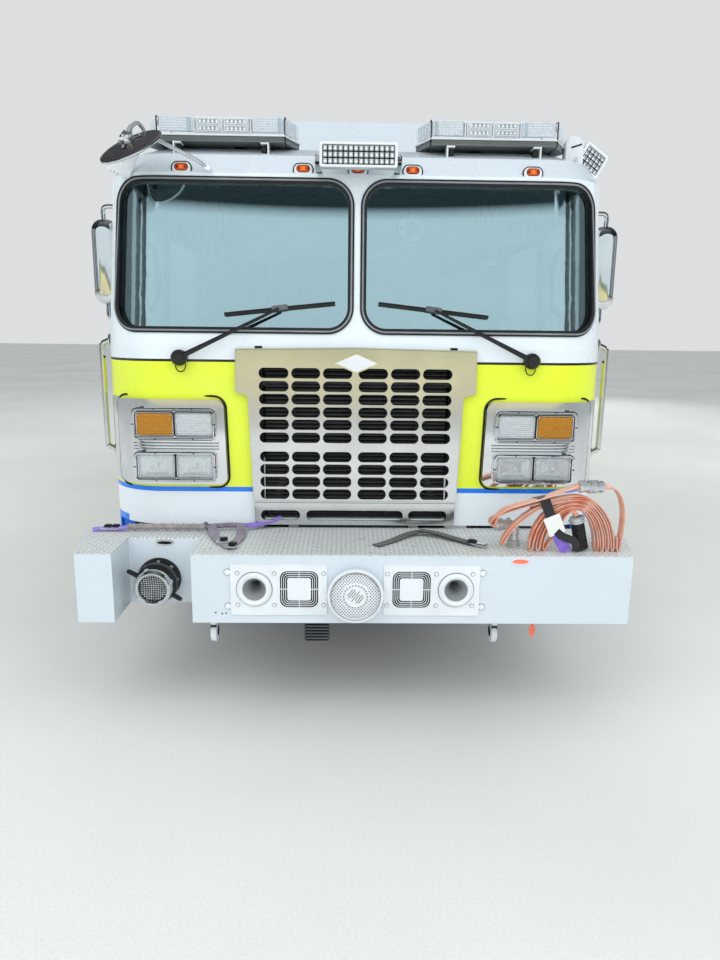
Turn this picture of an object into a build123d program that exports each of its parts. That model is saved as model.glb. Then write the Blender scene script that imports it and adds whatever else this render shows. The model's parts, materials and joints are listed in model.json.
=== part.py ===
from build123d import *
from math import cos, radians, sin, sqrt

import os

os.makedirs("parts", exist_ok=True)

# The truck stands on z = 0 with its nose towards -Y, and all sizes are in millimetres
overall_length = 9480
siren_out = 60
nose = siren_out - overall_length / 2
tail = overall_length / 2

# Clearances
running_fit = 0.05
seat_gap = 0.3
panel_gap = 5

# Wheels and axles
tyre_radius = 537
tyre_width = 300
rim_radius = 286
front_wheel_x = 1035
twin_inner_x = 722
twin_outer_x = 1067
kingpin_x = 880
kingpin_radius = 22
spindle_radius = 35
rear_spindle_radius = 50
wheelbase = 4750

# Bumper
bumper_depth = 430
bumper_bottom = 478
deck_top = 787
deck_sheet = 5
bumper_wall = 8
bumper_half = 1190
bumper_flare = 50
bumper_widest = 1260
bumper_rear_half = 1227
bumper_widest_y = 310
notch_outer_x = 1034
notch_inner_x = 700
notch_depth = 240

# Cab
cab_face = nose + bumper_depth
cab_length = 3450
cab_back = cab_face + cab_length
cab_wall = 60
cab_half = 1200
cab_skirt = 560
cab_front_bottom = deck_top + 13
cab_corner = 290
cab_waist = 1640
cab_gutter = 2400
cab_brow = 2490
cab_crown = 2540
front_axle_y = cab_face + 1650
rear_axle_y = front_axle_y + wheelbase
arch_radius = 640
floor_top = 1100
floor_sheet = 40
floor_half = cab_half - cab_wall - seat_gap
tunnel_half = 480
tunnel_top_half = 440
tunnel_top = 1500
tunnel_end = cab_face + 2300

# Doors
door_bottom = 610
door_top = 2365
window_bottom = 1690
window_top = 2290
window_margin = 75
window_corner = 60
front_door = (cab_face + 310, cab_face + 1130)
rear_door = (cab_face + 2370, cab_face + 3230)
side_window = (cab_face + 1210, cab_face + 2290)
door_arch_margin = 60
glass_sheet = 8
glass_inset = 14
gasket_width = 28
gasket_lip = 6
hinge_pin = 5
hinge_barrel = 9
hinge_out = hinge_barrel + 1
hinge_leaf = 4
hinge_leaf_width = 40
hinge_knuckle = 60

# Frame
rail_inner_x = 355
rail_outer_x = 440
rail_web = 10
rail_top = 910
rail_bottom = 660
rail_nose_top = deck_top - deck_sheet
rail_nose_bottom = 530
rail_end = tail - 420

# Pump house and body
pump_gap = 50
pump_length = 1100
pump_front = cab_back + pump_gap
pump_back = pump_front + pump_length
body_gap = 40
body_front = pump_back + body_gap
tail_step_depth = 300
body_back = tail - tail_step_depth
body_half = 1245
body_skirt = 560
body_shelf = 1700
body_top = 2400
body_wall = 40
compartment_depth = 600
rear_arch_radius = 620
compartment_margin = 50

# Windscreen opening in the front view, right of the centre post
screen_inner_x = 14
screen_outer_low = 1138
screen_outer_high = 1100
screen_bottom = 1700
screen_top = 2385
screen_corner = 120

# Cab outline by height: height, setback of the face, half width, corner radius
cab_outline = [
    (cab_skirt, 0, cab_half, cab_corner),
    (cab_waist, 0, cab_half, cab_corner),
    (cab_gutter, 75, cab_half - 40, cab_corner - 20),
    (cab_brow, 140, cab_half - 75, cab_corner - 30),
    (cab_crown, 260, cab_half - 180, cab_corner - 80),
]


def save(piece, name):
    """Label a finished piece and write its file."""
    piece.part.label = name
    export_step(piece.part, f"parts/{name}.step")


def block(x0, x1, y0, y1, z0, z1, mode=Mode.ADD):
    """A block between two opposite corners."""
    with Locations(((x0 + x1) / 2, (y0 + y1) / 2, (z0 + z1) / 2)):
        Box(abs(x1 - x0), abs(y1 - y0), abs(z1 - z0), mode=mode)


def side_profile(points, x0, x1, mode=Mode.ADD, corner=0, push=0):
    """A closed outline of (y, z) points, drawn from x0 to x1."""
    with BuildSketch(Plane.YZ.offset(x0)) as outline:
        with BuildLine():
            Polyline(*points, close=True)
        make_face()
        if corner:
            fillet(outline.vertices(), corner)
        if push:
            offset(amount=push, kind=Kind.INTERSECTION, mode=Mode.REPLACE)
    extrude(outline.sketch, amount=x1 - x0, mode=mode)


def front_profile(points, y0, y1, mode=Mode.ADD, corner=0, push=0):
    """A closed outline of (x, z) points, drawn from y0 to y1."""
    with BuildSketch(Plane.XZ.offset(-y0)) as outline:
        with BuildLine():
            Polyline(*points, close=True)
        make_face()
        if corner:
            fillet(outline.vertices(), corner)
        if push:
            offset(amount=push, kind=Kind.INTERSECTION, mode=Mode.REPLACE)
    extrude(outline.sketch, amount=y0 - y1, mode=mode)


def plan_profile(points, z0, z1, mode=Mode.ADD):
    """A closed outline of (x, y) points, drawn from z0 to z1."""
    with BuildSketch(Plane.XY.offset(z0)) as outline:
        with BuildLine():
            Polyline(*points, close=True)
        make_face()
    extrude(outline.sketch, amount=z1 - z0, mode=mode)


def inset(points, distance):
    """A closed outline whose straight edges are all moved inwards by a distance."""
    area = sum(
        a[0] * b[1] - b[0] * a[1] for a, b in zip(points, points[1:] + points[:1])
    )
    turn = 1 if area > 0 else -1
    moved = []
    for index, corner in enumerate(points):
        before = points[index - 1]
        after = points[(index + 1) % len(points)]
        lines = []
        for start, end in ((before, corner), (corner, after)):
            run = (end[0] - start[0], end[1] - start[1])
            length = sqrt(run[0] ** 2 + run[1] ** 2)
            normal = (-run[1] / length * turn, run[0] / length * turn)
            reach = normal[0] * corner[0] + normal[1] * corner[1] + distance
            lines.append((normal, reach))
        (n0, r0), (n1, r1) = lines
        cross = n0[0] * n1[1] - n0[1] * n1[0]
        moved.append(
            ((r0 * n1[1] - r1 * n0[1]) / cross, (n0[0] * r1 - n1[0] * r0) / cross)
        )
    return moved


def rod_x(x0, x1, y, z, radius, mode=Mode.ADD):
    """A cylinder along X."""
    with Locations(Location(((x0 + x1) / 2, y, z), (0, 90, 0))):
        Cylinder(radius, abs(x1 - x0), mode=mode)


def rod_y(x, y0, y1, z, radius, mode=Mode.ADD):
    """A cylinder along Y."""
    with Locations(Location((x, (y0 + y1) / 2, z), (90, 0, 0))):
        Cylinder(radius, abs(y1 - y0), mode=mode)


def rod_z(x, y, z0, z1, radius, mode=Mode.ADD):
    """A cylinder along Z."""
    with Locations((x, y, (z0 + z1) / 2)):
        Cylinder(radius, abs(z1 - z0), mode=mode)


def cab_envelope(inset, top=0, below=0):
    """The cab's outer form, moved inwards all round by the inset and lowered by top."""
    with BuildPart() as envelope:
        for height, setback, half, corner in cab_outline:
            level = height
            if height == cab_skirt:
                level = height - below
            if height > cab_gutter:
                level = height - top
            near = cab_face + setback + inset
            far = cab_back - inset
            with BuildSketch(Plane.XY.offset(level)) as ring:
                with Locations((0, (near + far) / 2)):
                    Rectangle(2 * (half - inset), far - near)
                fillet(ring.vertices().group_by(Axis.Y)[0], corner - inset)
        loft(ruled=True)
    return envelope.part


def cab_skin(outer, inner):
    """The layer of the cab between two insets."""
    with BuildPart() as skin:
        add(cab_envelope(outer, top=outer))
        add(cab_envelope(inner, top=inner, below=1), mode=Mode.SUBTRACT)
    return skin.part


def door_outline(span, low, high):
    """The four corners of a door or window between two (y) ends and two heights."""
    return [(span[0], low), (span[1], low), (span[1], high), (span[0], high)]


def door_prism(span, grow):
    """The space of one cab door on the left side, grown by an amount, clear of the wheel arch."""
    with BuildPart() as space:
        side_profile(door_outline(span, door_bottom, door_top), 900, 1300, corner=40, push=grow)
        rod_x(
            900,
            1300,
            front_axle_y,
            tyre_radius,
            arch_radius + door_arch_margin - grow,
            mode=Mode.SUBTRACT,
        )
    return space.part


def window_prism(span, grow):
    """The space of a side window on the left side, grown by an amount."""
    with BuildPart() as space:
        corners = door_outline(span, window_bottom, window_top)
        side_profile(corners, 900, 1300, corner=window_corner, push=grow)
    return space.part


def screen_prism(grow):
    """The space of the left windscreen pane, grown by an amount."""
    points = [
        (screen_inner_x, screen_bottom),
        (screen_outer_low, screen_bottom),
        (screen_outer_high, screen_top),
        (screen_inner_x, screen_top),
    ]
    with BuildPart() as space:
        front_profile(points, cab_face - 100, cab_face + cab_corner, corner=screen_corner, push=grow)
    return space.part


def door_window(span):
    """The window's (y) ends in a cab door."""
    return (span[0] + window_margin, span[1] - window_margin)


# Cab panels, cut from one hollow form where the real ones meet
cab_form = cab_skin(0, cab_wall)
door_spans = {"front": front_door, "rear": rear_door}
corner_end = cab_face + cab_corner
grille_open_half = 440
grille_open_bottom = 830
grille_open_top = 1560

with BuildPart() as cab_front:
    add(cab_form)
    block(
        -1300, 1300, cab_face - 50, corner_end, cab_front_bottom, cab_gutter, mode=Mode.INTERSECT
    )
    add(screen_prism(0), mode=Mode.SUBTRACT)
    add(mirror(screen_prism(0), about=Plane.YZ, mode=Mode.PRIVATE), mode=Mode.SUBTRACT)
    block(
        -grille_open_half,
        grille_open_half,
        cab_face - 50,
        cab_face + cab_wall + 10,
        grille_open_bottom,
        grille_open_top,
        mode=Mode.SUBTRACT,
    )
save(cab_front, "cab_front")

with BuildPart() as cab_sides:
    add(cab_form)
    block(900, 1300, corner_end, cab_back - cab_wall, cab_skirt, cab_gutter, mode=Mode.INTERSECT)
    for span in door_spans.values():
        add(door_prism(span, 0), mode=Mode.SUBTRACT)
    add(window_prism(side_window, 0), mode=Mode.SUBTRACT)
    rod_x(900, 1300, front_axle_y, tyre_radius, arch_radius, mode=Mode.SUBTRACT)
    pin_x = cab_half + hinge_out
    for span in door_spans.values():
        pin_y = span[0]
        for end, inward in ((door_bottom + 80, 1), (cab_waist - 80, -1)):
            rod_z(pin_x, pin_y, end, end + inward * hinge_knuckle, hinge_barrel)
            block(
                cab_half,
                cab_half + hinge_leaf,
                pin_y - hinge_leaf_width,
                pin_y,
                end,
                end + inward * hinge_knuckle,
            )
        rod_z(pin_x, pin_y, door_bottom + 80, cab_waist - 80, hinge_pin)
    mirror(about=Plane.YZ)
save(cab_sides, "cab_sides")

with BuildPart() as cab_back_wall:
    add(cab_form)
    block(-1300, 1300, cab_back - cab_wall, cab_back + 10, cab_skirt, cab_gutter, mode=Mode.INTERSECT)
    block(
        -rail_outer_x - 20,
        rail_outer_x + 20,
        cab_back - cab_wall - 10,
        cab_back + 20,
        cab_skirt - 10,
        rail_top + 20,
        mode=Mode.SUBTRACT,
    )
save(cab_back_wall, "cab_back_wall")

# Raised roof: distance behind the cab's face, height
raised_front = cab_face + 820
raised_half = 1080
raised_top = 2860
raised_slope = 200
raised_wall = 50
raised_base = cab_crown - raised_wall
with BuildPart() as cab_roof:
    add(cab_form)
    block(-1300, 1300, cab_face - 50, cab_back + 10, cab_gutter, cab_crown + 10, mode=Mode.INTERSECT)
    side_profile(
        [
            (raised_front, raised_base),
            (cab_back, raised_base),
            (cab_back, raised_top),
            (raised_front + raised_slope, raised_top),
        ],
        -raised_half,
        raised_half,
    )
    side_profile(
        [
            (raised_front + raised_wall, raised_base - 40),
            (cab_back - raised_wall, raised_base - 40),
            (cab_back - raised_wall, raised_top - raised_wall),
            (raised_front + raised_slope + raised_wall / 2, raised_top - raised_wall),
        ],
        -raised_half + raised_wall,
        raised_half - raised_wall,
        mode=Mode.SUBTRACT,
    )
save(cab_roof, "cab_roof")

# Cab floor with its engine tunnel, steps and wheel housings
step_depth = 330
step_sheet = 30
step_middle = 850
with BuildPart() as cab_floor:
    block(
        -floor_half,
        floor_half,
        cab_face + cab_wall,
        cab_back - cab_wall,
        floor_top - floor_sheet,
        floor_top,
    )
    block(
        -tunnel_half,
        tunnel_half,
        cab_face,
        tunnel_end,
        floor_top - 2 * floor_sheet,
        floor_top + 10,
        mode=Mode.SUBTRACT,
    )
    front_profile(
        [
            (-tunnel_half - floor_sheet, floor_top - floor_sheet),
            (tunnel_half + floor_sheet, floor_top - floor_sheet),
            (tunnel_half + floor_sheet, floor_top),
            (tunnel_top_half + floor_sheet, tunnel_top),
            (-tunnel_top_half - floor_sheet, tunnel_top),
            (-tunnel_half - floor_sheet, floor_top),
        ],
        cab_face + cab_wall,
        tunnel_end + floor_sheet,
    )
    front_profile(
        [
            (-tunnel_half, floor_top - floor_sheet - 1),
            (tunnel_half, floor_top - floor_sheet - 1),
            (tunnel_top_half, tunnel_top - floor_sheet),
            (-tunnel_top_half, tunnel_top - floor_sheet),
        ],
        cab_face,
        tunnel_end,
        mode=Mode.SUBTRACT,
    )
    for side in (-1, 1):
        inner = side * (floor_half - step_depth)
        middle = side * (floor_half - step_depth / 2)
        outer = side * floor_half
        rod_x(side * 700, outer, front_axle_y, tyre_radius, arch_radius + step_sheet)
        rod_x(side * 690, side * 1200, front_axle_y, tyre_radius, arch_radius, mode=Mode.SUBTRACT)
        block(
            side * 690,
            side * 1200,
            front_axle_y - 700,
            front_axle_y + 700,
            -200,
            cab_skirt,
            mode=Mode.SUBTRACT,
        )
        for well_front, well_back in (
            (front_door[0] + 20, front_axle_y - arch_radius - step_sheet - 20),
            (rear_door[0] + 20, rear_door[1] - 20),
        ):
            block(
                inner,
                side * 1200,
                well_front + step_sheet,
                well_back - step_sheet,
                cab_skirt,
                floor_top + 1,
                mode=Mode.SUBTRACT,
            )
            front_profile(
                [
                    (inner, floor_top),
                    (inner, step_middle - step_sheet),
                    (middle, step_middle - step_sheet),
                    (middle, door_bottom - step_sheet),
                    (outer, door_bottom - step_sheet),
                    (outer, door_bottom),
                    (middle + side * step_sheet, door_bottom),
                    (middle + side * step_sheet, step_middle),
                    (inner + side * step_sheet, step_middle),
                    (inner + side * step_sheet, floor_top),
                ],
                well_front,
                well_back,
            )
            for end, thick in ((well_front, step_sheet), (well_back, -step_sheet)):
                front_profile(
                    [
                        (inner, floor_top),
                        (inner, step_middle - step_sheet),
                        (middle, step_middle - step_sheet),
                        (middle, door_bottom - step_sheet),
                        (outer, door_bottom - step_sheet),
                        (outer, floor_top),
                    ],
                    end,
                    end + thick,
                )
        for place in (cab_face + 850, cab_back - 400):
            block(
                side * rail_inner_x,
                side * (tunnel_half + floor_sheet),
                place,
                place + 110,
                rail_top,
                floor_top - floor_sheet + 1,
            )
    add(cab_envelope(cab_wall + seat_gap, below=10), mode=Mode.INTERSECT)
save(cab_floor, "cab_floor")

# Windscreen and fixed side windows
pane_layer = cab_skin(glass_inset, glass_inset + glass_sheet)
gasket_layer = cab_skin(-gasket_lip, cab_wall / 2)
with BuildPart() as fixed_windows:
    for space in (
        screen_prism(-gasket_width - seat_gap),
        window_prism(side_window, -gasket_width - seat_gap),
    ):
        with BuildPart(mode=Mode.PRIVATE) as pane:
            add(pane_layer)
            add(space, mode=Mode.INTERSECT)
        add(pane.part)
    mirror(about=Plane.YZ)
save(fixed_windows, "fixed_windows")

with BuildPart() as window_gaskets:
    for outer_space, inner_space in (
        (screen_prism(-seat_gap), screen_prism(-gasket_width)),
        (window_prism(side_window, -seat_gap), window_prism(side_window, -gasket_width)),
    ):
        with BuildPart(mode=Mode.PRIVATE) as ring:
            add(gasket_layer)
            add(outer_space, mode=Mode.INTERSECT)
            add(inner_space, mode=Mode.SUBTRACT)
        add(ring.part)
    mirror(about=Plane.YZ)
save(window_gaskets, "window_gaskets")

# Cab doors with their panes
for end, span in door_spans.items():
    window = door_window(span)
    pin_x = cab_half + hinge_out
    pin_y = span[0]
    low = door_bottom + 80 + hinge_knuckle + 1
    high = cab_waist - 80 - hinge_knuckle - 1
    with BuildPart() as door_left:
        add(cab_form)
        add(door_prism(span, -panel_gap), mode=Mode.INTERSECT)
        add(window_prism(window, 0), mode=Mode.SUBTRACT)
        block(cab_half, cab_half + hinge_leaf, pin_y, pin_y + hinge_leaf_width, low, high)
        rod_z(pin_x, pin_y, low, high, hinge_barrel)
        rod_z(pin_x, pin_y, low - 1, high + 1, hinge_pin + running_fit, mode=Mode.SUBTRACT)
    with BuildPart() as door_right:
        mirror(door_left.part, about=Plane.YZ)
    with BuildPart() as door_pane_left:
        add(pane_layer)
        add(window_prism(window, -seat_gap), mode=Mode.INTERSECT)
    with BuildPart() as door_pane_right:
        mirror(door_pane_left.part, about=Plane.YZ)
    save(door_left, f"{end}_door_left")
    save(door_right, f"{end}_door_right")
    save(door_pane_left, f"{end}_door_pane_left")
    save(door_pane_right, f"{end}_door_pane_right")

# Frame rails, crossmembers and the dropped nose that carries the bumper
rail_nose_end = nose + 125
rail_drop_front = cab_face + 60
rail_drop_back = cab_face + 260
rail_points = [
    (rail_nose_end, rail_nose_bottom),
    (rail_nose_end, rail_nose_top),
    (rail_drop_front, rail_nose_top),
    (rail_drop_front + 100, rail_top),
    (rail_end, rail_top),
    (rail_end, rail_bottom),
    (rail_drop_back, rail_bottom),
    (rail_drop_back - 100, rail_nose_bottom),
]
crossmember_radius = 40
crossmember_z = rail_bottom + rail_web + crossmember_radius + seat_gap
crossmember_half = rail_outer_x - rail_web - seat_gap
crossmembers = (cab_face + 2400, cab_back + 300, rear_axle_y - 900, rear_axle_y + 900, rail_end - 60)
eye_x = 636
eye_y = nose + 166
eye_thick = 25
eye_centre_z = 372
eye_bore = 24
eye_radius = 47
eye_beam_top = rail_nose_bottom - seat_gap
eye_beam_height = 70
with BuildPart() as frame_rails:
    for side in (-1, 1):
        side_profile(rail_points, side * rail_inner_x, side * rail_outer_x)
        side_profile(
            inset(rail_points, rail_web),
            side * (rail_inner_x - 1),
            side * (rail_outer_x - rail_web),
            mode=Mode.SUBTRACT,
        )
    for place in crossmembers:
        rod_x(-crossmember_half, crossmember_half, place, crossmember_z, crossmember_radius)
    block(
        -eye_x - eye_thick,
        eye_x + eye_thick,
        eye_y - 40,
        eye_y + 40,
        eye_beam_top - eye_beam_height,
        eye_beam_top,
    )
    for side in (-1, 1):
        with BuildSketch(Plane.YZ.offset(side * eye_x - eye_thick / 2)) as eye:
            with Locations((eye_y, eye_centre_z)):
                Circle(eye_radius)
            with Locations((eye_y, (eye_centre_z + eye_beam_top - 20) / 2)):
                Rectangle(2 * eye_radius - 14, eye_beam_top - 20 - eye_centre_z)
            with Locations((eye_y, eye_centre_z)):
                Circle(eye_bore, mode=Mode.SUBTRACT)
        extrude(eye.sketch, amount=eye_thick)
save(frame_rails, "frame_rails")

# Front bumper, an open box with a notch for the intake, and its treaded deck
bumper_outline = [
    (-bumper_half, nose),
    (-notch_outer_x, nose),
    (-notch_outer_x, nose + notch_depth),
    (-notch_inner_x, nose + notch_depth),
    (-notch_inner_x, nose),
    (bumper_half, nose),
    (bumper_half + bumper_flare, nose + 195),
    (bumper_widest, nose + bumper_widest_y),
    (bumper_rear_half, nose + bumper_depth),
    (-bumper_rear_half, nose + bumper_depth),
    (-bumper_widest, nose + bumper_widest_y),
    (-bumper_half - bumper_flare, nose + 195),
]
horn_x = 432
horn_z = 633
horn_mouth = 50
horn_wall = 3
horn_hole_gap = 3
speaker_x = 241
speaker_half = 82
speaker_can_wall = 3
speaker_can_half = speaker_half + 4
speaker_can_depth = 50
siren_z = 620
siren_radius = 120
siren_neck = 70
intake_x = -896
intake_z = 594
intake_collar = 98
intake_pipe = 60
with BuildPart() as front_bumper:
    plan_profile(bumper_outline, bumper_bottom, deck_top - deck_sheet)
    plan_profile(
        inset(bumper_outline, bumper_wall), bumper_bottom - 1, deck_top, mode=Mode.SUBTRACT
    )
    block(
        -bumper_rear_half + 60,
        bumper_rear_half - 60,
        nose + bumper_depth - 2 * bumper_wall,
        nose + bumper_depth + 10,
        bumper_bottom - 1,
        deck_top,
        mode=Mode.SUBTRACT,
    )
    for side in (-1, 1):
        rod_y(
            side * horn_x,
            nose - 1,
            nose + 20,
            horn_z,
            horn_mouth + horn_wall + horn_hole_gap,
            mode=Mode.SUBTRACT,
        )
        block(
            side * speaker_x - speaker_can_half - horn_hole_gap,
            side * speaker_x + speaker_can_half + horn_hole_gap,
            nose - 1,
            nose + 20,
            horn_z - speaker_can_half - horn_hole_gap,
            horn_z + speaker_can_half + horn_hole_gap,
            mode=Mode.SUBTRACT,
        )
    rod_y(0, nose - 1, nose + 20, siren_z, siren_neck + 1, mode=Mode.SUBTRACT)
    rod_y(
        intake_x,
        nose + notch_depth - 1,
        nose + notch_depth + 20,
        intake_z,
        intake_pipe + 1,
        mode=Mode.SUBTRACT,
    )
save(front_bumper, "front_bumper")

with BuildPart() as bumper_deck:
    plan_profile(bumper_outline, deck_top - deck_sheet, deck_top)
save(bumper_deck, "bumper_deck")

# Siren: radius, distance behind the bumper's face
siren_lip = 14
siren_shape = [
    (0, -siren_out + 12),
    (siren_radius - siren_lip, -siren_out + 12),
    (siren_radius - siren_lip, -siren_out),
    (siren_radius - 4, -siren_out),
    (siren_radius, -siren_out + 10),
    (siren_radius, -siren_out + 40),
    (siren_radius - 30, 0),
    (siren_neck, 0),
    (siren_neck, 130),
    (0, 130),
]
with BuildPart() as siren:
    with BuildSketch(Plane.XY) as half:
        with BuildLine():
            Polyline(*[(r, nose + d) for r, d in siren_shape], close=True)
        make_face()
    revolve(half.sketch, axis=Axis.Y)
    siren.part.position = (0, 0, siren_z)
save(siren, "siren")

# Air horn bell: a flared mouth in a rolled flange, narrowing to its throat
plate_sheet = 4
bell_flange = 73
bell_flange_out = 8
bell_lip = 14
bell_length = 118
horn_throat = 12
with BuildPart() as horn_bell:
    with BuildSketch(Plane.XY) as bell_half:
        plate_face = nose - plate_sheet
        flange_back = plate_face + plate_sheet / 2
        bell_front = plate_face - bell_flange_out
        bell_back = nose + bell_length
        with BuildLine():
            Polyline(
                (horn_mouth, bell_front + 3),
                (horn_mouth - 10, nose + 6),
                (horn_mouth - 20, nose + 24),
                (horn_throat + 10, nose + 54),
                (horn_throat, bell_back),
                (horn_throat + horn_wall, bell_back),
                (horn_throat + 10 + horn_wall, nose + 56),
                (horn_mouth - 20 + horn_wall, nose + 26),
                (horn_mouth + horn_wall, flange_back),
                (bell_flange, flange_back),
                (bell_flange, plate_face - bell_flange_out / 2),
                (bell_flange - bell_flange_out / 2, bell_front),
                (horn_mouth + bell_lip / 2, bell_front),
                close=True,
            )
        make_face()
    revolve(bell_half.sketch, axis=Axis.Y)

# Horn plates carry the bells and the speaker grilles, whose square rings of slots leave a bare middle
plate_outer_x = 535
plate_inner_x = 121
plate_bottom = 515
plate_top = 743
speaker_corner = 32
speaker_rings = 4
speaker_ring_pitch = 8.5
speaker_slot = 6
speaker_bar = 3
with BuildPart() as horn_plates:
    with BuildSketch(Plane.XZ.offset(-nose)) as plate:
        middle = ((plate_inner_x + plate_outer_x) / 2, (plate_bottom + plate_top) / 2)
        with Locations(middle):
            RectangleRounded(plate_outer_x - plate_inner_x, plate_top - plate_bottom, 6)
        with Locations((horn_x, horn_z)):
            Circle(horn_mouth, mode=Mode.SUBTRACT)
        with Locations((speaker_x, horn_z)):
            for ring in range(speaker_rings):
                outer_half = speaker_half - ring * speaker_ring_pitch
                inner_half = outer_half - speaker_slot
                corner = speaker_corner - ring * speaker_slot
                RectangleRounded(2 * outer_half, 2 * outer_half, corner, mode=Mode.SUBTRACT)
                RectangleRounded(2 * inner_half, 2 * inner_half, corner - speaker_slot / 2)
            Rectangle(2 * speaker_half + 2, speaker_bar)
            Rectangle(speaker_bar, 2 * speaker_half + 2)
    extrude(plate.sketch, amount=plate_sheet)
    with BuildSketch(Plane.XZ.offset(-nose)) as can:
        with Locations((speaker_x, horn_z)):
            RectangleRounded(2 * speaker_can_half, 2 * speaker_can_half, speaker_corner + 4)
    extrude(can.sketch, amount=-speaker_can_depth)
    with BuildSketch(Plane.XZ.offset(-nose)) as can_inside:
        with Locations((speaker_x, horn_z)):
            inside_half = speaker_can_half - speaker_can_wall
            RectangleRounded(2 * inside_half, 2 * inside_half, speaker_corner + 1)
    extrude(can_inside.sketch, amount=speaker_can_wall - speaker_can_depth, mode=Mode.SUBTRACT)
    with Locations((horn_x, 0, horn_z)):
        add(horn_bell.part)
    mirror(about=Plane.YZ)
save(horn_plates, "horn_plates")

# Front intake in the notch, with its strainer end and two handles
intake_front = nose + 45
intake_ring = 76
handle_reach = 130
handle_radius = 12
handle_knob = 16
handle_turn = 150
with BuildPart() as front_intake:
    notch_wall = nose + notch_depth
    rod_y(intake_x, notch_wall - 14, notch_wall, intake_z, intake_collar)
    rod_y(intake_x, intake_front + 40, notch_wall + 60, intake_z, intake_pipe)
    rod_y(intake_x, intake_front, intake_front + 45, intake_z, intake_ring)
    rod_y(intake_x, intake_front + 60, intake_front + 110, intake_z, intake_ring)
    rod_y(intake_x, intake_front - 1, intake_front + 30, intake_z, intake_pipe - 4, mode=Mode.SUBTRACT)
    hub = Location((intake_x, intake_front + 85, intake_z), (0, 90 - handle_turn, 0))
    with Locations(hub):
        Cylinder(handle_radius, 2 * handle_reach)
    with Locations(hub * Pos(0, 0, handle_reach), hub * Pos(0, 0, -handle_reach)):
        Cylinder(handle_knob, handle_knob)
save(front_intake, "front_intake")

# Grille: columns by their edges, rows by their tops
grille_sheet = 6
grille_out = 30
grille_face = cab_face - grille_out
grille_top = 1638
grille_shoulder_half = 551
grille_shoulder_z = 1436
grille_neck_half = 494
grille_neck_z = 1420
grille_foot_half = 479
grille_foot_z = 898
grille_strip_half = 473
grille_strip_z = deck_top + 22
slot_height = 46
slot_columns = [(-446, -311), (-297, -166), (-152, -19), (12, 145), (160, 293), (307, 441)]
slot_rows = [1548, 1488, 1429, 1369, 1311, 1250, 1160, 1100, 1040, 981]
strip_slots = [(-447, -262), (-231, 229), (255, 439)]
strip_row = 876
grille_outline = [
    (-grille_shoulder_half, grille_top - 10),
    (0, grille_top),
    (grille_shoulder_half, grille_top - 10),
    (grille_shoulder_half, grille_shoulder_z),
    (grille_neck_half, grille_neck_z),
    (grille_foot_half, grille_foot_z),
    (grille_strip_half, grille_strip_z),
    (-grille_strip_half, grille_strip_z),
    (-grille_foot_half, grille_foot_z),
    (-grille_neck_half, grille_neck_z),
    (-grille_shoulder_half, grille_shoulder_z),
]
badge_half_width = 110
badge_half_height = 48
badge_z = 1572
with BuildPart() as grille:
    front_profile(grille_outline, grille_face, cab_face)
    front_profile(
        inset(grille_outline, grille_sheet),
        grille_face + grille_sheet,
        cab_face + 1,
        mode=Mode.SUBTRACT,
    )
    with BuildSketch(Plane.XZ.offset(-grille_face + 1)) as slots:
        for row_top in slot_rows:
            for left, right in slot_columns:
                with Locations(((left + right) / 2, row_top - slot_height / 2)):
                    SlotOverall(right - left, slot_height)
        for left, right in strip_slots:
            with Locations(((left + right) / 2, strip_row - slot_height / 2)):
                SlotOverall(right - left, slot_height)
    extrude(slots.sketch, amount=-grille_sheet - 2, mode=Mode.SUBTRACT)
    front_profile(
        [
            (-badge_half_width, badge_z),
            (0, badge_z - badge_half_height),
            (badge_half_width, badge_z),
            (0, badge_z + badge_half_height),
        ],
        grille_face - 6,
        grille_face + 1,
    )
save(grille, "grille")

# Headlight bezels follow the cab's corner; frames by low and high height, lamps by their edges
bezel_out = 26
bezel_inner_low = 600
bezel_inner_high = 611
bezel_outer = 1118
bezel_bottom = 1000
bezel_top = 1400
lamp_frames = [(1212, 1362), (1017, 1158)]
lamp_frame_inner = 648
lamp_frame_outer = 1030
lamp_frame_out = 44
lamp_pocket = 24
lamp_rows = [(1232, 1341), (1034, 1147)]
lamp_columns = [(662, 832), (841, 1011)]
lamp_out = 50


def rectangle_points(x0, x1, z0, z1):
    """The corners of an upright rectangle."""
    return [(x0, z0), (x1, z0), (x1, z1), (x0, z1)]


with BuildPart() as headlight_bezels:
    with BuildPart(mode=Mode.PRIVATE) as wrap:
        add(cab_skin(-bezel_out, 0))
        front_profile(
            [
                (bezel_inner_low, bezel_bottom),
                (bezel_outer, bezel_bottom),
                (bezel_outer, bezel_top),
                (bezel_inner_high, bezel_top),
            ],
            cab_face - 100,
            corner_end,
            mode=Mode.INTERSECT,
            corner=40,
        )
    add(wrap.part)
    for low, high in lamp_frames:
        front_profile(
            rectangle_points(lamp_frame_inner, lamp_frame_outer, low, high),
            cab_face - lamp_frame_out,
            cab_face,
            corner=22,
        )
    for low, high in lamp_rows:
        for left, right in lamp_columns:
            front_profile(
                rectangle_points(left, right, low, high),
                cab_face - lamp_frame_out - 1,
                cab_face - lamp_frame_out + lamp_pocket,
                mode=Mode.SUBTRACT,
            )
    add(cab_envelope(0), mode=Mode.SUBTRACT)
    mirror(about=Plane.YZ)
save(headlight_bezels, "headlight_bezels")

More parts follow.
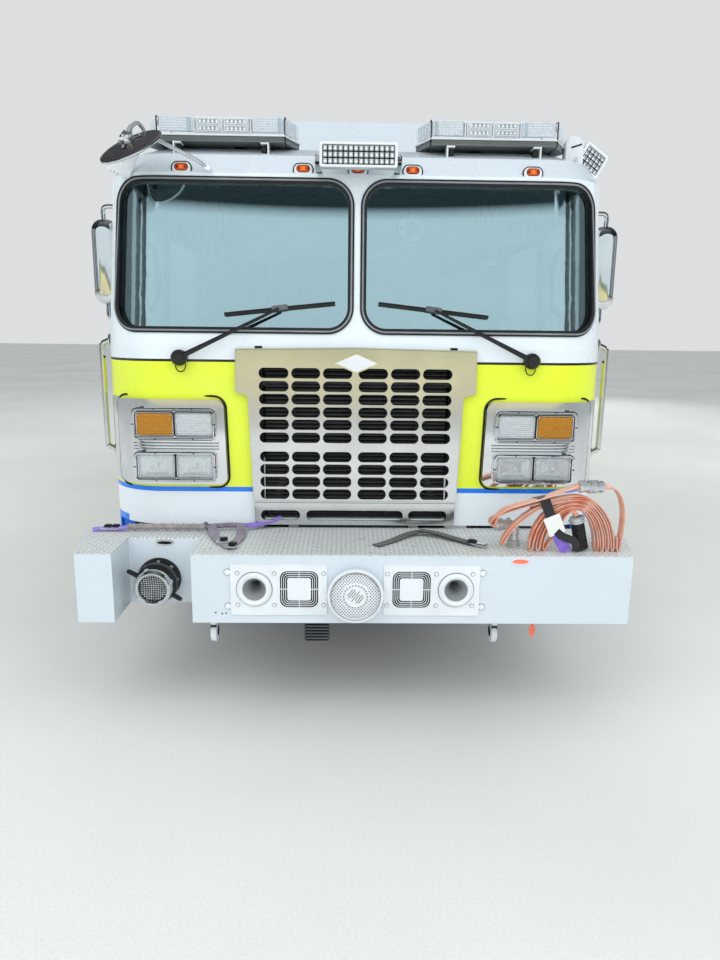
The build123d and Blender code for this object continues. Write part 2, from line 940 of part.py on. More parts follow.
# Lamps: headlamps and inner upper lamps are clear, the outer upper ones amber
lamp_back = cab_face - lamp_frame_out + lamp_pocket
flood_half = 168
flood_bottom = 2404
flood_top = 2506
flood_face = cab_face - 62
flood_depth = 60
corner_flood = (1092, cab_face + 290, 2520)
corner_flood_tilt = 17
with BuildPart() as clear_lamps:
    for row, column in ((0, 0), (1, 0), (1, 1)):
        low, high = lamp_rows[row]
        left, right = lamp_columns[column]
        front_profile(
            inset(rectangle_points(left, right, low, high), seat_gap), cab_face - lamp_out, lamp_back
        )
    mirror(about=Plane.YZ)
    front_profile(
        rectangle_points(-flood_half, flood_half, flood_bottom, flood_top),
        flood_face,
        flood_face + flood_depth,
    )
    for side in (-1, 1):
        block(
            side * (flood_half - 60),
            side * (flood_half - 30),
            flood_face + flood_depth - 1,
            cab_face + 120,
            flood_bottom + 20,
            flood_bottom + 50,
        )
    with Locations(Location(corner_flood, (0, corner_flood_tilt, 0))):
        Box(205, 90, 118)
        with Locations((-20, 25, -75)):
            Box(60, 40, 130)
    add(cab_envelope(0), mode=Mode.SUBTRACT)
save(clear_lamps, "clear_lamps")

marker_z = 2417
marker_places = [0, 245, 787]
marker_half_width = 49
marker_half_height = 28
marker_face = cab_face + 62
marker_depth = 60
with BuildPart() as amber_lamps:
    low, high = lamp_rows[0]
    left, right = lamp_columns[1]
    front_profile(
        inset(rectangle_points(left, right, low, high), seat_gap), cab_face - lamp_out, lamp_back
    )
    for place in marker_places:
        with BuildSketch(Plane.XZ.offset(-marker_face)) as oval:
            with Locations((place, marker_z)):
                Ellipse(marker_half_width, marker_half_height)
        extrude(oval.sketch, amount=-marker_depth)
    mirror(about=Plane.YZ)
    add(cab_envelope(0), mode=Mode.SUBTRACT)
save(amber_lamps, "amber_lamps")

# Wipers: pivot cap, arm and blade, lying on the raked glass
wiper_pivot_x = 808
wiper_pivot_z = 1589
wiper_cap = 34
wiper_cap_depth = 50
blade_inner = (99, 1839)
blade_outer = (602, 1784)
blade_height = 22
glass_lean = 75 / (cab_gutter - cab_waist)


def glass_face(height):
    """The distance of the raked windscreen's outer face from the bumper end of the truck."""
    return cab_face + glass_inset + (height - cab_waist) * glass_lean


with BuildPart() as wipers:
    rod_y(wiper_pivot_x, cab_face - wiper_cap_depth, cab_face, wiper_pivot_z, wiper_cap)
    arm_end = ((blade_inner[0] + blade_outer[0]) / 2, (blade_inner[1] + blade_outer[1]) / 2)
    arm_near = cab_face - 38
    front_profile(
        [
            (wiper_pivot_x + 8, wiper_pivot_z + 16),
            (wiper_pivot_x - 12, wiper_pivot_z - 16),
            (arm_end[0] - 6, arm_end[1] - 4),
            (arm_end[0] + 6, arm_end[1] + 8),
        ],
        arm_near,
        arm_near + 12,
    )
    front_profile(
        [
            (blade_inner[0], blade_inner[1] - blade_height / 2),
            (blade_inner[0], blade_inner[1] + blade_height / 2),
            (blade_outer[0], blade_outer[1] + blade_height / 2),
            (blade_outer[0], blade_outer[1] - blade_height / 2),
        ],
        arm_near + 8,
        glass_face(blade_outer[1] - blade_height / 2) - seat_gap,
    )
    mirror(about=Plane.YZ)
save(wipers, "wipers")

# Light bars on the front of the roof: base, lip and lens with pointed ends, on folded strap feet
bar_inner = 290
bar_outer = 985
bar_end = 60
bar_near = cab_face + 150
bar_depth = 300
bar_base = 2549
bar_lens = 2578
bar_top = 2658
bar_lip = 6
bar_base_inset = 5
bar_lens_corner = 10
bar_foot_half = 20
bar_foot_sheet = 5
bar_foot_inset = 14
bar_feet = (380, 900)
bar_outline = [
    (bar_inner, bar_near + bar_depth / 2),
    (bar_inner + bar_end, bar_near),
    (bar_outer - bar_end, bar_near),
    (bar_outer, bar_near + bar_depth / 2),
    (bar_outer - bar_end, bar_near + bar_depth),
    (bar_inner + bar_end, bar_near + bar_depth),
]
with BuildPart() as light_bars:
    plan_profile(inset(bar_outline, bar_base_inset), bar_lens, bar_top)
    chamfer(light_bars.edges().group_by(Axis.Z)[-1], bar_lens_corner)
    plan_profile(inset(bar_outline, bar_base_inset), bar_base, bar_lens)
    plan_profile(bar_outline, bar_lens - bar_lip, bar_lens)
    foot_front = bar_near + bar_foot_inset
    foot_back = bar_near + bar_depth - bar_foot_inset
    foot_low = cab_brow - 60
    for foot in bar_feet:
        side_profile(
            [
                (foot_front, foot_low),
                (foot_front, bar_base),
                (foot_back, bar_base),
                (foot_back, foot_low),
                (foot_back - bar_foot_sheet, foot_low),
                (foot_back - bar_foot_sheet, bar_base - bar_foot_sheet),
                (foot_front + bar_foot_sheet, bar_base - bar_foot_sheet),
                (foot_front + bar_foot_sheet, foot_low),
            ],
            foot - bar_foot_half,
            foot + bar_foot_half,
        )
    add(cab_envelope(0), mode=Mode.SUBTRACT)
    mirror(about=Plane.YZ)
save(light_bars, "light_bars")

# Door mirrors on their arm loops
mirror_y = cab_face + 440
mirror_inner = 1205
mirror_outer = 1335
mirror_bottom = 1835
mirror_top = 2250
mirror_depth = 70
mirror_arm = 11
mirror_seat = 1.5
mirror_arm_low = 1760
mirror_arm_high = 2310


def cab_side_x(height):
    """The half width of the cab at a height between waist and gutter."""
    return cab_half - 40 * max(0, height - cab_waist) / (cab_gutter - cab_waist)


for side, name in ((1, "left"), (-1, "right")):
    with BuildPart() as door_mirror:
        middle = (mirror_inner + mirror_outer) / 2
        front_profile(
            rectangle_points(mirror_inner, mirror_outer, mirror_bottom, mirror_top),
            mirror_y,
            mirror_y + mirror_depth,
            corner=35,
        )
        for height in (mirror_arm_low, mirror_arm_high):
            root = cab_side_x(height)
            rod_x(root + mirror_seat, middle, mirror_y + mirror_depth / 2, height, mirror_arm)
            rod_x(root + mirror_seat, root + 12, mirror_y + mirror_depth / 2, height, 2 * mirror_arm)
        rod_z(middle, mirror_y + mirror_depth / 2, mirror_arm_low, mirror_arm_high, mirror_arm)
        if side < 0:
            mirror(about=Plane.YZ, mode=Mode.REPLACE)
    save(door_mirror, f"mirror_{name}")

# Round mirror over the nose, right-hand corner only: its dished back faces up and forwards
nose_mirror = (-953, nose + 320, 2460)
nose_mirror_radius = 140
nose_mirror_rim = 16
nose_mirror_dish = 14
nose_mirror_boss = 40
nose_mirror_lean = 27
nose_mirror_roll = -18
nose_knuckle_radius = 16
nose_knuckle_top = 46
nose_knuckle_ball = 20
nose_arm_radius = 9
nose_arm_corner = 15
nose_arm_foot = (-640, cab_face + 60, 2411)
nose_arm_foot_radius = 22
nose_mirror_place = Location(nose_mirror, (nose_mirror_lean, nose_mirror_roll, 0))
nose_arm_end = (nose_mirror_place * Pos(0, 0, nose_knuckle_top)).position
with BuildPart() as nose_mirror_part:
    with Locations(nose_mirror_place):
        Cylinder(nose_mirror_radius, nose_mirror_rim)
    with Locations(nose_mirror_place * Pos(0, 0, (nose_mirror_rim + nose_mirror_dish) / 2)):
        Cone(nose_mirror_radius - nose_mirror_rim / 2, nose_mirror_boss, nose_mirror_dish)
    with Locations(nose_mirror_place * Pos(0, 0, nose_knuckle_top / 2)):
        Cylinder(nose_knuckle_radius, nose_knuckle_top)
    with BuildLine(mode=Mode.PRIVATE) as arm_line:
        FilletPolyline(
            nose_arm_foot,
            (-921, nose + 440, 2543),
            (-944, nose + 400, 2572),
            nose_arm_end,
            radius=nose_arm_corner,
        )
    with BuildSketch(Plane(origin=arm_line.line @ 0, z_dir=arm_line.line % 0)) as arm_end_face:
        Circle(nose_arm_radius)
    sweep(arm_end_face.sketch, path=arm_line.line)
    with Locations(nose_arm_end):
        Sphere(nose_knuckle_ball)
    with Locations(Location(nose_arm_foot, (90, 0, 0))):
        Cylinder(nose_arm_foot_radius, 60)
    add(cab_envelope(0), mode=Mode.SUBTRACT)
save(nose_mirror_part, "nose_mirror")

# Dashboard with the steering column and wheel
dash_half = floor_half - 25
dash_top = 1660
dash_face = cab_face + 620
steer_x = 620
steer_centre = (steer_x, cab_face + 700, 1740)
steer_tilt = 30
steer_radius = 230
with BuildPart() as dashboard:
    side_profile(
        [
            (cab_face + cab_wall + 90, 1500 + 30),
            (cab_face + cab_wall + 90, dash_top - 20),
            (dash_face - 120, dash_top),
            (dash_face, dash_top - 60),
            (dash_face - 30, 1500 + 30),
        ],
        -dash_half,
        dash_half,
    )
    side_profile(
        [
            (cab_face + cab_wall + 90, floor_top),
            (cab_face + cab_wall + 90, 1531),
            (cab_face + cab_wall + 190, 1531),
            (cab_face + cab_wall + 190, floor_top),
        ],
        tunnel_half + floor_sheet + seat_gap,
        floor_half - step_depth - 10,
    )
    side_profile(
        [
            (cab_face + cab_wall + 90, floor_top),
            (cab_face + cab_wall + 90, 1531),
            (cab_face + cab_wall + 190, 1531),
            (cab_face + cab_wall + 190, floor_top),
        ],
        -tunnel_half - floor_sheet - seat_gap,
        -floor_half + step_depth + 10,
    )
    with Locations(Location(steer_centre, (-steer_tilt, 0, 0))):
        Torus(steer_radius, 16)
        Cylinder(60, 40)
        for turn in (0, 120, 240):
            with Locations(Location((0, 0, 0), (0, 0, turn)) * Pos(0, steer_radius / 2, 0)):
                Box(24, steer_radius, 14)
        with Locations((0, 0, -170)):
            Cylinder(30, 320)
    add(cab_envelope(cab_wall + seat_gap, below=10), mode=Mode.INTERSECT)
save(dashboard, "dashboard")

# Seats: place across, place along
seat_width = 480
seat_depth = 470
seat_base = 430
cushion_height = 110
back_height = 620
back_thick = 110
front_seat_y = cab_face + 920
rear_seat_y = cab_face + 2750
seat_places = [
    (760, front_seat_y),
    (-760, front_seat_y),
    (860, rear_seat_y),
    (290, rear_seat_y),
    (-290, rear_seat_y),
    (-860, rear_seat_y),
]
with BuildPart() as seats:
    for place, front_edge in seat_places:
        side_profile(
            [
                (front_edge, floor_top + seat_base - cushion_height),
                (front_edge, floor_top + seat_base),
                (front_edge + seat_depth, floor_top + seat_base),
                (front_edge + seat_depth + 50, floor_top + seat_base + back_height),
                (front_edge + seat_depth + 50 + back_thick, floor_top + seat_base + back_height),
                (front_edge + seat_depth + back_thick, floor_top + seat_base - cushion_height),
                (front_edge + seat_depth - 120, floor_top + seat_base - cushion_height),
                (front_edge + seat_depth - 120, floor_top),
                (front_edge + 90, floor_top),
                (front_edge + 90, floor_top + seat_base - cushion_height),
            ],
            place - seat_width / 2 + 20,
            place + seat_width / 2 - 20,
        )
save(seats, "seats")

# Engine and gearbox as one plain block with the drive shafts, and the radiator behind the grille
engine_half = 300
engine_front = cab_face + 450
engine_back = cab_face + 1900
engine_bottom = 600
engine_top = 1400
gearbox_back = engine_back + 350
gearbox_radius = 230
shaft_radius = 45
shaft_z = 800
with BuildPart() as engine:
    block(-engine_half, engine_half, engine_front, engine_back, engine_bottom, engine_top)
    for place in (engine_front + 120, engine_back - 220):
        block(
            -rail_inner_x,
            rail_inner_x,
            place,
            place + 100,
            rail_bottom + 90,
            rail_bottom + 130,
        )
    rod_y(0, engine_back, gearbox_back, shaft_z + 40, gearbox_radius)
    rod_y(0, gearbox_back, rear_axle_y - 250, shaft_z, shaft_radius)
save(engine, "engine")

radiator_half = 335
radiator_front = cab_face + cab_wall + 40
radiator_depth = 110
with BuildPart() as radiator:
    block(
        -radiator_half,
        radiator_half,
        radiator_front,
        radiator_front + radiator_depth,
        rail_nose_top + 20,
        1440,
    )
    for side in (-1, 1):
        block(
            side * (radiator_half - 60),
            side * (rail_inner_x + 30),
            radiator_front + 20,
            radiator_front + radiator_depth - 20,
            rail_top,
            rail_top + 40,
        )
save(radiator, "radiator")

# Springs: half length, height of the pack's ends, height of its middle
spring_x = (rail_inner_x + rail_outer_x) / 2 + 5
spring_width = 76
front_spring_half = 720
rear_spring_half = 760
beam_z = 470
beam_height = 90
beam_width = 110
eye_half = 57
front_pack = (beam_z + beam_height / 2, beam_z + beam_height / 2 + 60)
rear_tube = 110


def spring_pack(centre_y, half, low, high, hanger_z):
    """One leaf pack with its two rail hangers, on the left side."""
    side_profile(
        [
            (centre_y - half, hanger_z - 26),
            (centre_y - 90, low),
            (centre_y + 90, low),
            (centre_y + half, hanger_z - 26),
            (centre_y + half, hanger_z),
            (centre_y + 90, high),
            (centre_y - 90, high),
            (centre_y - half, hanger_z),
        ],
        spring_x - spring_width / 2,
        spring_x + spring_width / 2,
    )
    for end in (-1, 1):
        block(
            rail_inner_x,
            rail_outer_x,
            centre_y + end * half,
            centre_y + end * (half - 90),
            hanger_z - 26,
            rail_bottom,
        )


with BuildPart() as front_axle:
    spring_pack(
        front_axle_y, front_spring_half, front_pack[0], front_pack[1], rail_bottom - 30
    )
    front_profile(
        [
            (0, beam_z - beam_height / 2),
            (kingpin_x - 200, beam_z - beam_height / 2),
            (kingpin_x, tyre_radius - eye_half),
            (kingpin_x, tyre_radius + eye_half),
            (kingpin_x - 110, tyre_radius + eye_half - 40),
            (kingpin_x - 220, beam_z + beam_height / 2),
            (0, beam_z + beam_height / 2),
        ],
        front_axle_y - beam_width / 2,
        front_axle_y + beam_width / 2,
    )
    rod_z(kingpin_x, front_axle_y, tyre_radius - eye_half - 5, tyre_radius + eye_half + 5, 55)
    block(
        kingpin_x - 60,
        kingpin_x + 60,
        front_axle_y - 70,
        front_axle_y + 70,
        tyre_radius + eye_half,
        tyre_radius + eye_half + 20,
        mode=Mode.SUBTRACT,
    )
    block(
        kingpin_x - 60,
        kingpin_x + 60,
        front_axle_y - 70,
        front_axle_y + 70,
        tyre_radius - eye_half - 20,
        tyre_radius - eye_half,
        mode=Mode.SUBTRACT,
    )
    rod_z(kingpin_x, front_axle_y, 300, 800, kingpin_radius + running_fit, mode=Mode.SUBTRACT)
    mirror(about=Plane.YZ)
save(front_axle, "front_axle")

# Steering knuckles with their kingpins and spindles
ear_thick = 32
ear_gap = 1
knuckle_web = kingpin_x + 62
spindle_end = front_wheel_x + 70
hub_inner = front_wheel_x - 60
with BuildPart() as knuckle_left:
    ear_low = tyre_radius - eye_half - ear_gap - ear_thick
    ear_high = tyre_radius + eye_half + ear_gap + ear_thick
    rod_z(kingpin_x, front_axle_y, ear_low, ear_low + ear_thick, 45)
    rod_z(kingpin_x, front_axle_y, ear_high - ear_thick, ear_high, 45)
    rod_z(kingpin_x, front_axle_y, ear_low, ear_high, kingpin_radius)
    for base in (ear_low, ear_high - ear_thick):
        block(kingpin_x, knuckle_web + 2, front_axle_y - 45, front_axle_y + 45, base, base + ear_thick)
    block(
        knuckle_web,
        knuckle_web + 28,
        front_axle_y - 60,
        front_axle_y + 60,
        ear_low,
        ear_high,
    )
    rod_x(knuckle_web + 20, spindle_end, front_axle_y, tyre_radius, spindle_radius)
with BuildPart() as knuckle_right:
    mirror(knuckle_left.part, about=Plane.YZ)
save(knuckle_left, "knuckle_left")
save(knuckle_right, "knuckle_right")

# Tyre section: distance from the wheel's middle plane, radius
tyre_bead = rim_radius + seat_gap
tyre_section = [
    (-0.36, tyre_bead),
    (-0.5, tyre_bead + 110),
    (-0.46, tyre_radius - 40),
    (-0.38, tyre_radius),
]
# Rim section of a wheel whose disc stands off its middle plane: across, radius
disc_sheet = 24


def tyre_solid(centre_x, centre_y):
    """One tyre about the axle at a place across the truck."""
    with BuildPart() as tyre:
        with BuildSketch(Plane.XY.offset(tyre_radius)) as section:
            with BuildLine():
                left = [(centre_x + a * tyre_width, centre_y + r) for a, r in tyre_section]
                right = [
                    (centre_x - a * tyre_width, centre_y + r) for a, r in reversed(tyre_section)
                ]
                Polyline(*left, *right, close=True)
            make_face()
        revolve(section.sketch, axis=Axis((0, centre_y, tyre_radius), (1, 0, 0)))
    return tyre.part


def rim_solid(centre_x, centre_y, disc_x, bore, hub_from, hub_to, hub_radius):
    """One rim for the left side, with its disc at disc_x and a hub between two places."""
    half = 0.36 * tyre_width
    with BuildPart() as rim:
        with BuildSketch(Plane.XY.offset(tyre_radius)) as section:
            with BuildLine():
                Polyline(
                    (centre_x - half, centre_y + rim_radius - 14),
                    (centre_x - half, centre_y + rim_radius),
                    (centre_x + half, centre_y + rim_radius),
                    (centre_x + half, centre_y + rim_radius - 14),
                    (disc_x + disc_sheet, centre_y + rim_radius - 22),
                    (disc_x + disc_sheet, centre_y + hub_radius),
                    (hub_to, centre_y + hub_radius - 12),
                    (hub_to, centre_y + bore),
                    (hub_from, centre_y + bore),
                    (hub_from, centre_y + hub_radius),
                    (disc_x, centre_y + hub_radius),
                    (disc_x, centre_y + rim_radius - 22),
                    close=True,
                )
            make_face()
        revolve(section.sketch, axis=Axis((0, centre_y, tyre_radius), (1, 0, 0)))
    return rim.part


with BuildPart() as front_tyre_left:
    add(tyre_solid(front_wheel_x, front_axle_y))
with BuildPart() as front_tyre_right:
    mirror(front_tyre_left.part, about=Plane.YZ)
with BuildPart() as front_rim_left:
    add(
        rim_solid(
            front_wheel_x,
            front_axle_y,
            front_wheel_x + 60,
            spindle_radius + running_fit,
            hub_inner,
            spindle_end + 20,
            130,
        )
    )
    rod_x(spindle_end + 5, spindle_end + 35, front_axle_y, tyre_radius, 100)
with BuildPart() as front_rim_right:
    mirror(front_rim_left.part, about=Plane.YZ)
for piece, name in (
    (front_tyre_left, "front_tyre_left"),
    (front_tyre_right, "front_tyre_right"),
    (front_rim_left, "front_rim_left"),
    (front_rim_right, "front_rim_right"),
):
    save(piece, name)

# Rear axle with its springs, and the twin wheels
rear_spindle_end = twin_outer_x - 60
banjo_radius = 215
with BuildPart() as rear_axle:
    rod_x(-560, 560, rear_axle_y, tyre_radius, rear_tube)
    rod_x(-rear_spindle_end, rear_spindle_end, rear_axle_y, tyre_radius, rear_spindle_radius)
    rod_y(0, rear_axle_y - 140, rear_axle_y + 140, tyre_radius, banjo_radius)
    rod_y(0, rear_axle_y - 250, rear_axle_y, shaft_z, 60)
    for side in (-1, 1):
        side_profile(
            [
                (rear_axle_y - rear_spring_half, rail_bottom - 30),
                (rear_axle_y - 90, tyre_radius + 60),
                (rear_axle_y + 90, tyre_radius + 60),
                (rear_axle_y + rear_spring_half, rail_bottom - 30),
                (rear_axle_y + rear_spring_half, rail_bottom),
                (rear_axle_y - rear_spring_half, rail_bottom),
            ],
            side * (spring_x - spring_width / 2),
            side * (spring_x + spring_width / 2),
        )
save(rear_axle, "rear_axle")

with BuildPart() as rear_tyres_left:
    add(tyre_solid(twin_inner_x, rear_axle_y))
    add(tyre_solid(twin_outer_x, rear_axle_y))
with BuildPart() as rear_tyres_right:
    mirror(rear_tyres_left.part, about=Plane.YZ)
twin_disc_x = (twin_inner_x + twin_outer_x) / 2
with BuildPart() as rear_rims_left:
    add(
        rim_solid(
            twin_outer_x,
            rear_axle_y,
            twin_disc_x,
            rear_spindle_radius + running_fit,
            twin_disc_x - 60,
            rear_spindle_end + 30,
            140,
        )
    )
    add(
        rim_solid(
            twin_inner_x,
            rear_axle_y,
            twin_disc_x - disc_sheet,
            rear_spindle_radius + running_fit,
            twin_inner_x - 40,
            twin_disc_x - 20,
            140,
        )
    )
    rod_x(rear_spindle_end + 5, rear_spindle_end + 60, rear_axle_y, tyre_radius, 110)
with BuildPart() as rear_rims_right:
    mirror(rear_rims_left.part, about=Plane.YZ)
for piece, name in (
    (rear_tyres_left, "rear_tyres_left"),
    (rear_tyres_right, "rear_tyres_right"),
    (rear_rims_left, "rear_rims_left"),
    (rear_rims_right, "rear_rims_right"),
):
    save(piece, name)

# Pump house with its running boards and two open hose trays across the top
pump_half = 1190
pump_top = 1850
board_half = body_half
board_bottom = 560
board_top = 600
tray_width = 260
tray_floor = 1560
tray_wall = 70
pump_tunnel_half = 460
with BuildPart() as pump_house:
    front_profile(
        [
            (-board_half, board_bottom),
            (-pump_tunnel_half, board_bottom),
            (-pump_tunnel_half, rail_top + seat_gap),
            (pump_tunnel_half, rail_top + seat_gap),
            (pump_tunnel_half, board_bottom),
            (board_half, board_bottom),
            (board_half, board_top),
            (pump_half, board_top),
            (pump_half, pump_top),
            (-pump_half, pump_top),
            (-pump_half, board_top),
            (-board_half, board_top),
        ],
        pump_front,
        pump_back,
    )
    rod_y(0, pump_front - 10, pump_back + 10, rail_top, 160, mode=Mode.SUBTRACT)
    for index in (0, 1):
        tray_front = pump_front + 120 + index * (tray_width + tray_wall)
        block(
            -pump_half - 1,
            pump_half + 1,
            tray_front,
            tray_front + tray_width,
            tray_floor,
            pump_top + 1,
            mode=Mode.SUBTRACT,
        )
save(pump_house, "pump_house")

# Pump fittings on both panels: distance along the panel, height, radius, how far they stand out
fittings = [
    (550, 900, 92, 150),
    (250, 860, 46, 110),
    (850, 860, 46, 110),
    (250, 1080, 46, 110),
    (850, 1080, 46, 110),
    (550, 1330, 78, 22),
    (330, 1340, 52, 18),
    (770, 1340, 52, 18),
    (250, 1480, 32, 16),
    (850, 1480, 32, 16),
]
with BuildPart() as pump_fittings:
    for along, height, radius, out in fittings:
        rod_x(pump_half, pump_half + out, pump_front + along, height, radius)
    mirror(about=Plane.YZ)
save(pump_fittings, "pump_fittings")

# Body: compartments on both sides
side_inner = 645
fore_span = (body_front + compartment_margin, rear_axle_y - rear_arch_radius - compartment_margin)
aft_span = (rear_axle_y + rear_arch_radius + compartment_margin, body_back - compartment_margin)
locker_low = body_skirt + 50
locker_high = body_shelf - 50
locker_door = 40
with BuildPart() as body_sides:
    block(side_inner, body_half, body_front, body_back, body_skirt, body_shelf)
    for span in (fore_span, aft_span):
        block(
            body_half - compartment_depth + body_wall,
            body_half + 1,
            span[0],
            span[1],
            locker_low,
            locker_high,
            mode=Mode.SUBTRACT,
        )
    rod_x(
        side_inner - 1, body_half + 1, rear_axle_y, tyre_radius, rear_arch_radius, mode=Mode.SUBTRACT
    )
    pin_x = body_half + hinge_out
    for end, inward in ((locker_low + 60, 1), (locker_high - 60, -1)):
        rod_z(pin_x, fore_span[0], end, end + inward * hinge_knuckle, hinge_barrel)
        block(
            body_half,
            body_half + hinge_leaf,
            fore_span[0] - hinge_leaf_width,
            fore_span[0],
            end,
            end + inward * hinge_knuckle,
        )
    rod_z(pin_x, fore_span[0], locker_low + 60, locker_high - 60, hinge_pin)
    for end, inward in ((aft_span[0] + 60, 1), (aft_span[1] - 60, -1)):
        with Locations(Location((pin_x, end + inward * hinge_knuckle / 2, locker_high), (90, 0, 0))):
            Cylinder(hinge_barrel, hinge_knuckle)
        block(
            body_half,
            body_half + hinge_leaf,
            end,
            end + inward * hinge_knuckle,
            locker_high,
            locker_high + hinge_leaf_width,
        )
    rod_y(pin_x, aft_span[0] + 60, aft_span[1] - 60, locker_high, hinge_pin)
    mirror(about=Plane.YZ)
save(body_sides, "body_sides")

with BuildPart() as fore_locker_left:
    block(
        body_half - locker_door,
        body_half,
        fore_span[0] + panel_gap,
        fore_span[1] - panel_gap,
        locker_low + panel_gap,
        locker_high - panel_gap,
    )
    low = locker_low + 60 + hinge_knuckle + 1
    high = locker_high - 60 - hinge_knuckle - 1
    block(
        body_half,
        body_half + hinge_leaf,
        fore_span[0],
        fore_span[0] + hinge_leaf_width,
        low,
        high,
    )
    rod_z(pin_x, fore_span[0], low, high, hinge_barrel)
    rod_z(pin_x, fore_span[0], low - 1, high + 1, hinge_pin + running_fit, mode=Mode.SUBTRACT)
with BuildPart() as fore_locker_right:
    mirror(fore_locker_left.part, about=Plane.YZ)
save(fore_locker_left, "fore_locker_door_left")
save(fore_locker_right, "fore_locker_door_right")

with BuildPart() as aft_locker_left:
    block(
        body_half - locker_door,
        body_half,
        aft_span[0] + panel_gap,
        aft_span[1] - panel_gap,
        locker_low + panel_gap,
        locker_high - panel_gap,
    )
    low = aft_span[0] + 60 + hinge_knuckle + 1
    high = aft_span[1] - 60 - hinge_knuckle - 1
    block(
        body_half,
        body_half + hinge_leaf,
        low,
        high,
        locker_high - hinge_leaf_width,
        locker_high,
    )
    rod_y(pin_x, low, high, locker_high, hinge_barrel)
    rod_y(pin_x, low - 1, high + 1, locker_high, hinge_pin + running_fit, mode=Mode.SUBTRACT)
with BuildPart() as aft_locker_right:
    mirror(aft_locker_left.part, about=Plane.YZ)
save(aft_locker_left, "aft_locker_door_left")
save(aft_locker_right, "aft_locker_door_right")

# Water tank between the sides, and the locker behind it with the tail step
tank_half = side_inner - 20
tank_bottom = rail_top + 20
tail_locker_depth = 700
with BuildPart() as water_tank:
    block(
        -tank_half,
        tank_half,
        body_front,
        body_back - tail_locker_depth,
        tank_bottom,
        body_shelf,
    )
    for side in (-1, 1):
        block(
            side * rail_inner_x,
            side * rail_outer_x,
            body_front + 100,
            body_back - tail_locker_depth - 100,
            rail_top,
            tank_bottom,
        )
        rod_x(
            side * (twin_inner_x - tyre_width / 2 - 40),
            side * (tank_half + 1),
            rear_axle_y,
            tyre_radius,
            rear_arch_radius,
            mode=Mode.SUBTRACT,
        )
save(water_tank, "water_tank")

tail_door_half = 560
tail_door_low = rail_top + 60
tail_door_high = body_shelf - 60
with BuildPart() as tail_locker:
    block(
        -side_inner,
        side_inner,
        body_back - tail_locker_depth,
        body_back,
        rail_top,
        body_shelf,
    )
    block(
        -tail_door_half,
        tail_door_half,
        body_back - tail_locker_depth + body_wall,
        body_back + 1,
        tail_door_low,
        tail_door_high,
        mode=Mode.SUBTRACT,
    )
    side_profile(
        [
            (body_back, body_skirt),
            (tail, body_skirt),
            (tail, body_skirt + 45),
            (body_back + 20, body_skirt + 45),
            (body_back + 20, rail_top + 45),
            (body_back, rail_top + 45),
        ],
        -body_half,
        body_half,
    )
    pin_out = body_back + hinge_out
    for side in (-1, 1):
        end = side * (tail_door_half - 40)
        rod_x(end, end - side * hinge_knuckle, pin_out, tail_door_high, hinge_barrel)
        block(
            end,
            end - side * hinge_knuckle,
            body_back,
            body_back + hinge_leaf,
            tail_door_high,
            tail_door_high + hinge_leaf_width,
        )
    rod_x(-tail_door_half + 40, tail_door_half - 40, pin_out, tail_door_high, hinge_pin)
save(tail_locker, "tail_locker")

with BuildPart() as tail_door:
    block(
        -tail_door_half + panel_gap,
        tail_door_half - panel_gap,
        body_back - locker_door,
        body_back,
        tail_door_low + panel_gap,
        tail_door_high - panel_gap,
    )
    reach = tail_door_half - 40 - hinge_knuckle - 1
    block(
        -reach,
        reach,
        body_back,
        body_back + hinge_leaf,
        tail_door_high - hinge_leaf_width,
        tail_door_high,
    )
    rod_x(-reach, reach, pin_out, tail_door_high, hinge_barrel)
    rod_x(-reach - 1, reach + 1, pin_out, tail_door_high, hinge_pin + running_fit, mode=Mode.SUBTRACT)
save(tail_door, "tail_locker_door")

# Hose bed: open at the top and the tail
with BuildPart() as hose_bed:
    front_profile(
        [
            (-body_half, body_shelf),
            (body_half, body_shelf),
            (body_half, body_top),
            (body_half - body_wall, body_top),
            (body_half - body_wall, body_shelf + body_wall),
            (-body_half + body_wall, body_shelf + body_wall),
            (-body_half + body_wall, body_top),
            (-body_half, body_top),
        ],
        body_front,
        body_back,
    )
    block(
        -body_half + body_wall / 2,
        body_half - body_wall / 2,
        body_front,
        body_front + body_wall,
        body_shelf,
        body_top,
    )
save(hose_bed, "hose_bed")

# Tail lamps: low and high edge
tail_lamp_x = (1010, 1190)
tail_lamp_rows = [(1000, 1130), (1160, 1290), (1320, 1450)]
tail_lamp_out = 22
with BuildPart() as red_lamps:
    for low, high in tail_lamp_rows:
        front_profile(
            rectangle_points(tail_lamp_x[0], tail_lamp_x[1], low, high),
            body_back,
            body_back + tail_lamp_out,
        )
    mirror(about=Plane.YZ)
save(red_lamps, "red_lamps")

# Hose pack on the deck: flat hose folded to and fro in an arch, with its loose ends over it
pack_front = nose + 45
pack_back = nose + 120
pack_base = deck_top + seat_gap
arch_x = 942
arch_half = 192
arch_rise = 249
arch_inner_x = 951
arch_inner_half = 84
arch_inner_rise = 191
coupling_rest = 1044
loose_ends = [
    (612, 886),
    (590, 908),
    (600, 946),
    (700, 988),
    (810, 1020),
    (950, coupling_rest),
    (1066, coupling_rest),
    (1120, coupling_rest),
    (1172, 1002),
    (1190, 925),
    (1172, 845),
    (1110, 820),
    (1000, 985),
    (860, 940),
    (790, 925),
    (700, 935),
]
loose_end_corner = 8
with BuildPart() as hose_coil:
    with BuildSketch(Plane.XZ.offset(-pack_front)) as arch:
        with Locations((arch_x, pack_base)):
            Ellipse(arch_half, arch_rise)
        with Locations((arch_inner_x, pack_base)):
            Ellipse(arch_inner_half, arch_inner_rise, mode=Mode.SUBTRACT)
        with Locations((arch_x, pack_base)):
            Rectangle(
                2 * arch_half, arch_rise, align=(Align.CENTER, Align.MAX), mode=Mode.SUBTRACT
            )
    extrude(arch.sketch, amount=pack_front - pack_back)
    front_profile(loose_ends, pack_front, pack_back, corner=loose_end_corner)
